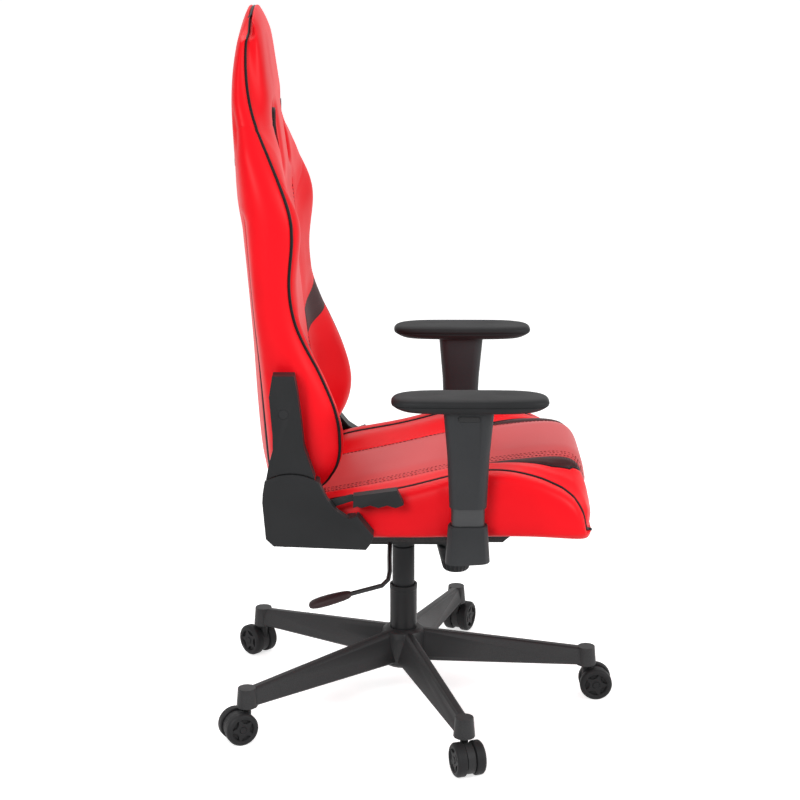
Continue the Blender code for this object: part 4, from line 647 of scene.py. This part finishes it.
def makeBack():
    wide = back["columns"]
    grid, u = backGrid(back, back["rows"], wide)
    # the crown falls away towards its corners
    grid[:, :, 2] -= back["crownFall"] * smoothstep(1.220, 1.275, grid[:, :, 2]) * (grid[:, :, 1] / 0.08) ** 2
    z = np.interp(u, np.arange(16), back["sections"][:, 0])
    perColumn = wide / 22
    column = np.arange(wide)[None, :] / perColumn
    mirrored = np.where(column <= 10.5, column, 21 - column)  # 0 at the rear, 10.5 at the front middle
    mirrored = np.abs(mirrored)
    height = grid[:, :, 2]
    piping = np.interp(z, *np.array(back["pipingLine"]).T)
    trim, groove = np.full(len(u), back["trimColumn"]), np.full(len(u), back["grooveColumn"])
    both = {}
    for word, line in (("piping", piping), ("trim", trim), ("groove", groove)):
        right = ringDistance(grid, line * perColumn)
        left = ringDistance(grid, (21 - line) * perColumn)
        both[word] = (right, left, np.minimum(np.abs(right), np.abs(left)))
    # seams that cross the rings, as heights that depend on the place round the ring
    headLine = 1.083 + 0.010 * np.sin(np.clip((mirrored - 2.1) / 3.4, 0, 1) * np.pi)
    headSeam = np.where((mirrored > 2.0) & (mirrored < 9.2), np.abs(height - headLine), 1.0)
    wingLine = np.interp(mirrored, [5.6, 9.0], [1.000, 0.915])
    wingSeam = np.where((mirrored > 5.7) & (mirrored < back["grooveColumn"]), np.abs(height - wingLine) * 0.9, 1.0)
    panelLine = back["grooveTop"] - 0.02 * (10.5 - mirrored) / 1.5
    panelTop = np.where(mirrored > back["grooveColumn"], np.abs(height - panelLine), 1.0)
    grooveSeam = np.where(height < back["grooveTop"], both["groove"][2], 1.0)
    trimWidth = np.interp(z, [0.458, back["trimTop"]], back["trimWidth"][::-1])[:, None]
    trimGap = np.where(height < back["trimTop"], both["trim"][2], 1.0)
    # black accent across the inner face of each wing
    upper = np.interp(mirrored, [6.0, 8.2, 9.0], [0.760, 0.729, 0.716])
    lower = np.interp(mirrored, [6.0, 8.2, 9.0], [0.708, 0.683, 0.672])
    beforeGroove = np.maximum(-both["groove"][0], both["groove"][1])
    pastCrest = (mirrored - back["accentStart"]) * 0.03 + 0 * height
    beforePanel = np.where(mirrored < 9.8, beforeGroove, -1.0)
    accent = np.minimum.reduce([height - lower, upper - height, pastCrest, beforePanel])
    onWing = (mirrored > back["accentStart"]) & (mirrored < back["grooveColumn"])
    accentSeam = np.where(onWing, np.minimum(np.abs(height - lower), np.abs(height - upper)), 1.0)
    blackZone = np.maximum(accent, trimWidth / 2 - trimGap)
    fade = np.clip((len(u) - 1 - np.arange(len(u))) / 12, 0, 1)[:, None]  # nothing over the crown of the head
    deep = np.minimum.reduce([both["piping"][2], trimGap, grooveSeam])
    faint = np.minimum.reduce([headSeam, wingSeam, panelTop, accentSeam])
    seam = np.minimum(deep, faint)

    y = np.abs(grid[:, :, 1])
    besideArm = smoothstep(-0.25, -0.235, -np.abs(grid[:, :, 0] + 0.205) - 0.2)
    covered = (1 - smoothstep(0.68, 0.70, height)) * smoothstep(0.236, 0.244, y) * besideArm
    foot = 1 - smoothstep(0.470, 0.500, height)
    pastEdge = np.maximum(np.abs(y - back["slotY"]) - 0.004, 0)
    pastEnd = np.maximum(np.abs(height - 1.058) - 0.038, 0)
    toSlot = np.hypot(pastEdge, pastEnd) - 0.012
    bySlot = 1 - smoothstep(0.002, 0.016, toSlot)
    free = (1 - covered) * (1 - foot)
    pinned = np.maximum.reduce([1 - smoothstep(0.003, 0.016, seam), 1 - free, bySlot])
    outward = normalsOf(grid)
    if (outward * (grid - grid.mean((0, 1)))).sum() < 0:
        outward = -outward
    inner = grid - outward * (back["startSmaller"] * free)[:, :, None]
    foam = back["foam"] * smoothstep(0.004, 0.05, seam) * (1 - bySlot)
    shift = outward * foam[:, :, None]
    rows, columns = back["simRows"], back["simColumns"]
    pick = np.linspace(0, len(grid) - 1, rows).round().astype(int)
    around = (np.arange(columns) * wide / columns).round().astype(int)
    shift = puffed("backCloth", inner[np.ix_(pick, around)], pinned[np.ix_(pick, around)], back["cloth"])
    shift = settled("back cover", resampled(shift, len(grid), wide), outward, foam, back["cloth"]["cap"])
    shift *= free[:, :, None]
    rearPanel = smoothstep(0.002, 0.05, both["trim"][2]) * (mirrored < back["trimColumn"])
    rearPanel = rearPanel * (1 - smoothstep(0.90, 0.96, height)) * free
    valley = back["valley"] * fade * np.exp(-(deep / back["valleyWidth"]) ** 2)
    valley = valley + back["crease"] * np.exp(-(faint / back["creaseWidth"]) ** 2)
    valley += (0.0018 + 0.0035 * (y > back["slotY"])) * np.exp(-((toSlot - 0.004) / 0.009) ** 2)
    skin = inner + shift + outward * (back["rearSwell"] * rearPanel - valley)[:, :, None]
    # seamGap sets how far the painted crease shade reaches along each seam
    seamGap = np.minimum(deep + 0.002 * (1 - fade), faint + 0.0007)
    cover = newPiece("backUpholstery", skin, gridQuads(len(skin), wide), {"blackZone": blackZone, "seamGap": seamGap})
    for side in (-1, 1):
        tool = slotCutter(side)
        cutting = cover.modifiers.new("slot", "BOOLEAN")
        cutting.object, cutting.operation, cutting.solver = tool, "DIFFERENCE", "EXACT"
        solid = bpy.data.meshes.new_from_object(cover.evaluated_get(bpy.context.evaluated_depsgraph_get()))
        cover.modifiers.clear()
        cover.data = solid
        bpy.data.objects.remove(tool)
    dress(cover, backLeather, "back", ["back_cushion", "back_wing_left", "back_wing_right"])

    tubes, threads = [], []
    normals = normalsOf(skin)
    if (normals * outward).sum() < 0:
        normals = -normals
    rows = np.arange(len(u))
    climb = rows[(z > 0.462) & (rows < len(u) - 1)]
    # main piping: up one side, over the head and down the other
    line = piping * perColumn
    descent = climb[::-1]
    farLine = (21 - piping[descent]) * perColumn
    path = np.concatenate([gridAt(skin, climb, line[climb]), gridAt(skin, descent, farLine)])
    up = np.concatenate([gridAt(normals, climb, line[climb]), gridAt(normals, descent, farLine)])
    path, up = evenly(path, 0.004, up)
    tubes.append(tubeGrid(path + up * back["pipingRadius"] * 0.5, up, back["pipingRadius"]))
    for mirror in (False, True):
        low = rows[(z > 0.462) & (z < back["trimTop"])]
        at = (21 - trim if mirror else trim)[low] * perColumn
        path, up = gridAt(skin, low, at), gridAt(normals, low, at)
        size = np.interp(path[:, 2], [0.458, back["trimTop"]], [0.0028, 0.0010])
        tubes.append(tubeGrid(path + up * 0.0004, up, size))
        run = ringDistance(skin, (21 - groove if mirror else groove) * perColumn)
        on = rows[(z > 0.50) & (z < back["grooveTop"] - 0.01)]
        for offset in (-0.0045, 0.0045):
            across = np.array([np.interp(offset, run[row], np.arange(wide)) for row in on])
            threads.append(stitchGrids(gridAt(skin, on, across), gridAt(normals, on, across), back["stitch"]))
    dress(newPiece("backPiping", *joined(tubes)), trimLeather, "back")
    stitches = np.concatenate(threads)
    dress(newPiece("backStitches", *joined(list(stitches))), threadMaterial, "back")
    print("back cover, piping and", len(stitches), "stitches")


makeSeat()
makeBack()


# armrest pads

armPad = {"halfLength": 0.132, "halfWidth": 0.044, "square": 3.4, "around": 128,
          # height, inset at the ends, inset at the sides
          "levels": np.array([(0.6300, 0.0240, 0.0110), (0.6306, 0.0200, 0.0085), (0.6330, 0.0130, 0.0050),
                              (0.6375, 0.0048, 0.0018), (0.6408, 0.0012, 0.0006), (0.6418, 0.0016, 0.0011),
                              (0.6424, 0.0030, 0.0026), (0.6430, 0.0014, 0.0010), (0.6440, 0.0006, 0.0004),
                              (0.6470, 0.0000, 0.0000), (0.6505, 0.0016, 0.0012), (0.6532, 0.0050, 0.0040),
                              (0.6546, 0.0100, 0.0085), (0.6550, 0.0180, 0.0150), (0.6550, 0.0500, 0.0300)])}


def makeArmPad(side, word):
    # rounded-rectangle rings: x = a sgn cos |cos|^(2/n), y = b sgn sin |sin|^(2/n), with a, b shrinking by the insets
    low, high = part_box(f"armrest_pad_{word}")
    middle = (low + high) / 2
    angle = np.linspace(0, 2 * np.pi, armPad["around"], endpoint=False)
    levels = armPad["levels"]
    power = 2 / armPad["square"]
    shape = lambda wave: np.sign(wave) * np.abs(wave) ** power
    x = (armPad["halfLength"] - levels[:, 1])[:, None] * shape(np.cos(angle))[None]
    y = (armPad["halfWidth"] - levels[:, 2])[:, None] * shape(np.sin(angle))[None]
    z = np.repeat(levels[:, :1], len(angle), 1)
    # the ends droop a little, so that the pad reads as a shallow boat from the side
    z = z - 0.0022 * np.clip(np.abs(x) / armPad["halfLength"] - 0.55, 0, 1) ** 2 / 0.2 * (z > 0.641)
    grid = np.stack([x + middle.x, y + middle.y, z], 2)
    poles = [np.tile(row.mean(0), (1, len(angle), 1)) for row in (grid[0], grid[-1])]
    grid = np.concatenate([poles[0], grid, poles[1]])
    pad = newPiece(f"armPad_{word}", grid, gridQuads(*grid.shape[:2]))
    pad.modifiers.new("soft", "SUBSURF")
    pad.modifiers["soft"].levels = pad.modifiers["soft"].render_levels = 1
    dress(pad, padSkin, f"armrest_{word}", [f"armrest_pad_{word}"])


for side, word in ((-1, "right"), (1, "left")):
    makeArmPad(side, word)
print("armrest pads")


# turned pieces

def softened(corners, radius, steps=5):
    # each corner of a profile becomes a short quadratic arc that starts and ends a radius away from it
    corners = np.asarray(corners, float)
    out = [corners[:1]]
    for before, corner, after in zip(corners[:-2], corners[1:-1], corners[2:]):
        a, b = before - corner, after - corner
        reach = min(radius, np.linalg.norm(a) / 2.2, np.linalg.norm(b) / 2.2)
        start, end = corner + a / np.linalg.norm(a) * reach, corner + b / np.linalg.norm(b) * reach
        t = np.linspace(0, 1, steps)[:, None]
        out.append((1 - t) ** 2 * start + 2 * t * (1 - t) * corner + t ** 2 * end)
    return np.concatenate(out + [corners[-1:]])


def turnedGrid(profile, centre=(0, 0), sides=96, wave=None):
    # (radius, height) turned round the upright axis: x = r cos a, y = r sin a; wave(r, z, a) adds relief to r
    r, z = profile[:, 0][:, None], profile[:, 1][:, None]
    a = np.linspace(0, 2 * np.pi, sides, endpoint=False)[None]
    if wave is not None:
        r = r + wave(r, z, a)
    return np.stack([centre[0] + r * np.cos(a), centre[1] + r * np.sin(a), z + 0 * a], 2)


column = {"radius": 0.025, "bore": 0.0224, "top": 0.223, "foot": 0.066, "lip": 0.0006,
          "cover": 0.0205, "piston": 0.014, "pistonTop": 0.338, "pistonLow": 0.118}


def makeColumn():
    r, bore = column["radius"], column["bore"]
    tube = [(0, column["foot"]), (r - 0.004, column["foot"]), (r, column["foot"] + 0.004), (r, column["top"] - 0.010),
            (r + column["lip"], column["top"] - 0.009), (r + column["lip"], column["top"]), (bore, column["top"]),
            (bore, 0.1502), (bore, 0.0997), (0.016, 0.0997), (0.016, 0.0695), (0, 0.0695)]
    grid = turnedGrid(softened(tube, 0.0009))
    dress(newPiece("columnTube", grid, gridQuads(*grid.shape[:2]), sharp=40), steel, "base", ["gas_lift_tube"])
    low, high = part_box("column_cover")
    c = column["cover"]
    sleeve = [(0.0143, high.z - 0.006), (0.0143, high.z), (c - 0.002, high.z), (c - 0.002, high.z - 0.0035), (c - 0.0022, high.z - 0.0065),
              (c, high.z - 0.0085), (c, low.z + 0.009), (c + 0.0004, low.z + 0.008), (c + 0.0004, low.z), (c - 0.003, low.z),
              (c - 0.003, high.z - 0.010), (0.0143, high.z - 0.006)]
    grid = turnedGrid(softened(sleeve, 0.0006))
    dress(newPiece("columnSleeve", grid, gridQuads(*grid.shape[:2]), sharp=40), plastic, "lift", ["column_cover"])
    p = column["piston"]
    rod = [(0, column["pistonLow"]), (p, column["pistonLow"]), (p, column["pistonTop"] - 0.03), (p - 0.002, column["pistonTop"]), (0, column["pistonTop"])]
    grid = turnedGrid(softened(rod, 0.0008), sides=64)
    dress(newPiece("pistonRod", grid, gridQuads(*grid.shape[:2]), sharp=40), brightSteel, "lift", ["gas_lift_piston"])


knob = {"x": 0.097, "low": 0.250, "top": 0.303, "lowRadius": 0.0235, "topRadius": 0.036, "ribs": 22, "ribDepth": 0.0013}


def makeKnob():
    # a cone whose lower rim carries ribs: r falls by depth * (0.5 - 0.5 cos(ribs a))^0.4 between them
    k = knob
    outline = [(0.0053, k["low"] + 0.0197), (0.0053, k["top"] - 0.0003), (k["topRadius"] - 0.003, k["top"]), (k["topRadius"], k["top"] - 0.004),
               (k["lowRadius"] + 0.0065, k["low"] + 0.026), (k["lowRadius"] + 0.0015, k["low"] + 0.006), (k["lowRadius"] - 0.002, k["low"] + 0.001), (0.012, k["low"]), (0, k["low"])]
    profile = softened(outline, 0.0018, 6)
    run = np.concatenate([[0], np.cumsum(np.linalg.norm(np.diff(profile, axis=0), axis=1))])
    at = np.linspace(0, run[-1], 90)
    profile = np.stack([np.interp(at, run, profile[:, 0]), np.interp(at, run, profile[:, 1])], 1)
    ribs = lambda r, z, a: -k["ribDepth"] * (0.5 - 0.5 * np.cos(k["ribs"] * a)) ** 0.5 * smoothstep(0.018, 0.022, r) * (1 - smoothstep(k["low"] + 0.020, k["low"] + 0.026, z))
    grid = turnedGrid(profile, (k["x"], 0), 220, ribs)
    cap = np.tile(np.array([k["x"], 0, k["low"] + 0.0197]), (1, 220, 1))
    grid = np.concatenate([cap, grid])
    dress(newPiece("tensionKnob", grid, gridQuads(*grid.shape[:2])), plastic, bodyOf["tension_knob"], ["tension_knob"])


makeColumn()
makeKnob()
print("column and knob")


# casters

caster = {"radius": 0.030, "inner": 0.0085, "outer": 0.026, "edge": 0.004, "axle": 0.004, "around": 150,
          "dish": 0.0016, "pocket": 0.0036, "rim": 0.0212, "pocketOut": 0.0200, "star": 0.0122, "hub": 0.0058}


def wheelGrid(settings):
    # one wheel about its axle: plain inner face, tread, then an outer face whose depth is a function of radius and angle
    s = settings
    a = np.linspace(0, 2 * np.pi, s["around"], endpoint=False)[None]
    shell = softened([(s["axle"], s["inner"]), (s["radius"] - 0.0015, s["inner"]), (s["radius"], s["inner"] + 0.0015),
                      (s["radius"], s["outer"] - s["edge"]), (s["radius"] - s["edge"], s["outer"]), (s["rim"] + 0.0008, s["outer"])], 0.002, 6)
    r = np.linspace(s["rim"] + 0.0005, 0.0, 60)[:, None]
    between = np.abs(np.sin(2.5 * a))
    edge = s["pocketOut"] - (s["pocketOut"] - s["star"]) * smoothstep(0.10, 0.92, between)
    pocket = smoothstep(0, 0.0007, r - edge - 0.0004) * smoothstep(0, 0.0007, s["pocketOut"] - r)
    dish = s["dish"] * smoothstep(0, 0.0008, s["rim"] - r)
    hub = 0.0010 * smoothstep(0, 0.0006, s["hub"] - r) - 0.0007 * np.exp(-((r - s["hub"] - 0.0006) / 0.0005) ** 2)
    depth = s["outer"] - dish - s["pocket"] * pocket + hub
    radius = np.concatenate([np.repeat(shell[:, :1], s["around"], 1), np.repeat(r, s["around"], 1)])
    along = np.concatenate([np.repeat(shell[:, 1:], s["around"], 1), depth + 0 * a])
    angle = np.repeat(a, len(radius), 0)
    return np.stack([radius * np.cos(angle), along, radius * np.sin(angle)], 2)


def makeCaster(number):
    joint = jointOf[f"wheel_roll_{number}"]
    centre, axle = np.array(joint["pos_m"]), np.array(joint["axis"], float)
    forward = np.array([axle[1], -axle[0], 0])
    one = wheelGrid(caster)
    other = one * np.array([1, -1, 1])
    a = np.linspace(0, 2 * np.pi, caster["around"], endpoint=False)
    rod = [np.stack([caster["axle"] * np.cos(a), 0 * a + y, caster["axle"] * np.sin(a)], 1) for y in (-caster["inner"], caster["inner"])]
    whole = np.concatenate([other[::-1], np.stack(rod), one])  # one closed surface: face, tread, axle, tread, face
    turn = np.stack([forward, axle, [0, 0, 1]])
    grid = whole @ turn + centre
    piece = newPiece(f"casterWheels_{number}", grid, gridQuads(*grid.shape[:2]), sharp=45)
    dress(piece, tread, f"wheels_{number}", [f"caster_wheels_{number}"])


for number in range(1, 6):
    makeCaster(number)
print("casters")


# moulded and pressed pieces: the CAD shape with merged faces, rounded edges and a real finish

def rounded(node, name, material, width, segments=2, angle=30):
    mesh = cad[node].data.copy()
    mesh.name = name
    tidy = bmesh.new()
    tidy.from_mesh(mesh)
    bmesh.ops.remove_doubles(tidy, verts=tidy.verts, dist=1.5e-5)
    bmesh.ops.dissolve_limit(tidy, angle_limit=math.radians(0.8), verts=tidy.verts, edges=tidy.edges)
    tidy.to_mesh(mesh)
    tidy.free()
    mesh.shade_smooth()
    mesh.set_sharp_from_angle(angle=math.radians(angle))
    piece = bpy.data.objects.new(name, mesh)
    scene.collection.objects.link(piece)
    if width:
        bevel = piece.modifiers.new("edges", "BEVEL")
        bevel.limit_method, bevel.angle_limit = "ANGLE", math.radians(angle)
        bevel.width, bevel.segments, bevel.harden_normals = width, segments, True
        bevel.use_clamp_overlap = True
    return dress(piece, material, bodyOf[node], [node])


housingFloor = 0.316
trims = [
    # node, finish, edge radius
    ("five_star_base", nylon, 0.0016), ("mechanism_housing", steel, 0.0012), ("lift_lever_paddle", leverPlastic, 0.0),
    ("lift_lever_boss", plastic, 0.0004), ("lift_lever_rod", steel, 0.0), ("recline_lever_arm", steel, 0.0005),
    ("recline_lever_grip", coverPlastic, 0.0009),
] + [(f"caster_housing_{n}", nylon, 0.0007) for n in range(1, 6)]
for word in ("left", "right"):
    trims += [(f"arm_cover_{word}", coverPlastic, 0.0008), (f"boot_cover_{word}", coverPlastic, 0.0009),
              (f"armrest_shell_{word}", plastic, 0.0008), (f"armrest_sleeve_{word}", plastic, 0.0009),
              (f"armrest_post_{word}", satinBand, 0.0004), (f"armrest_button_{word}", nylon, 0.0005),
              (f"armrest_bracket_{word}", steel, 0.0004), (f"belt_slot_bezel_{word}", plastic, 0.0006),
              (f"bolt_plug_{word}", coverPlastic, 0.0004)]
for node, material, width in trims:
    head, *rest = node.split("_")
    rounded(node, head + "".join(part.capitalize() for part in rest), material, width)
for word in ("Left", "Right"):
    for vertex in bpy.data.objects[f"beltSlotBezel{word}"].data.vertices:
        vertex.co.x = max(vertex.co.x, back["bezelRear"])
for vertex in bpy.data.objects["mechanismHousing"].data.vertices:
    vertex.co.z = max(vertex.co.z, housingFloor)
plain = {"guide_bush": bushPlastic, "tension_spring": brightSteel, "tension_bolt": brightSteel,
         "tilt_axle": brightSteel, "recliner_shaft": brightSteel}
for node, piece in cad.items():
    if not piece.hide_render:
        piece.data.materials.clear()
        piece.data.materials.append(plain.get(node, steel))
print("moulded pieces")


# floor, light and camera

def seenDirectly(tree):
    # one for rays from the camera, from a reflection or through a clear surface, and zero for the rest
    path = tree.nodes.new("ShaderNodeLightPath").outputs
    straight = maths(tree, "MAXIMUM", path["Is Camera Ray"], path["Is Glossy Ray"])
    return maths(tree, "MAXIMUM", straight, path["Is Transmission Ray"])


def makeStudio():
    bpy.ops.mesh.primitive_plane_add(size=80)
    floor = bpy.context.object
    floor.name = "studioFloor"
    material, tree, shader = newMaterial("Studio floor")
    shader.inputs["Base Color"].default_value = (0.80, 0.80, 0.80, 1)
    shader.inputs["Roughness"].default_value = 0.9
    glow = wired(tree, "Emission", None, Color=(1, 1, 1, 1))
    tree.links.new(maths(tree, "MULTIPLY", seenDirectly(tree), studio["floorGlow"]), glow.inputs["Strength"])
    both = tree.nodes.new("ShaderNodeAddShader")
    tree.links.new(shader.outputs[0], both.inputs[0])
    tree.links.new(glow.outputs[0], both.inputs[1])
    tree.links.new(both.outputs[0], next(n for n in tree.nodes if n.type == "OUTPUT_MATERIAL").inputs[0])
    floor.data.materials.append(material)

    world = bpy.data.worlds.new("Studio")
    scene.world = world
    world.use_nodes = True
    tree = world.node_tree
    tree.nodes.clear()
    out = tree.nodes.new("ShaderNodeOutputWorld")
    shown = mixedColour(tree, seenDirectly(tree), studio["fill"], (1.0, 1.0, 1.0))
    sky = wired(tree, "Background", None, Color=shown, Strength=1.0)
    tree.links.new(sky.outputs[0], out.inputs[0])
    for name, place, aim, size, power in studio["lamps"]:
        lamp = bpy.data.lights.new(name, "AREA")
        lamp.shape, lamp.size, lamp.energy = "DISK", size, power
        holder = bpy.data.objects.new(name, lamp)
        holder.location = place
        holder.rotation_euler = (Vector(aim) - Vector(place)).to_track_quat("-Z", "Y").to_euler()
        scene.collection.objects.link(holder)
    camera = bpy.data.cameras.new("camera")
    camera.lens, camera.sensor_width, camera.clip_end = 87.65, 36, 200
    holder = bpy.data.objects.new("camera", camera)
    holder.location = (0.01566, -3.40905, 1.46776)
    holder.rotation_euler = (math.pi / 2 - 0.256506, 0, 0.00648)
    scene.collection.objects.link(holder)
    scene.camera = holder
    scene.view_settings.view_transform = "Standard"


studio = {
    "floorGlow": 0.66, "fill": (0.40, 0.40, 0.40),
    "lamps": [
        # name, place, aim, size, power
        ("key", (-1.6, -3.6, 2.6), (0, 0, 0.7), 1.8, 98),
        ("front", (3.4, -1.6, 2.2), (0, 0, 0.7), 1.6, 78),
        ("top", (-0.4, 1.2, 3.6), (0, 0, 0.7), 2.4, 46),
    ],
}
makeStudio()
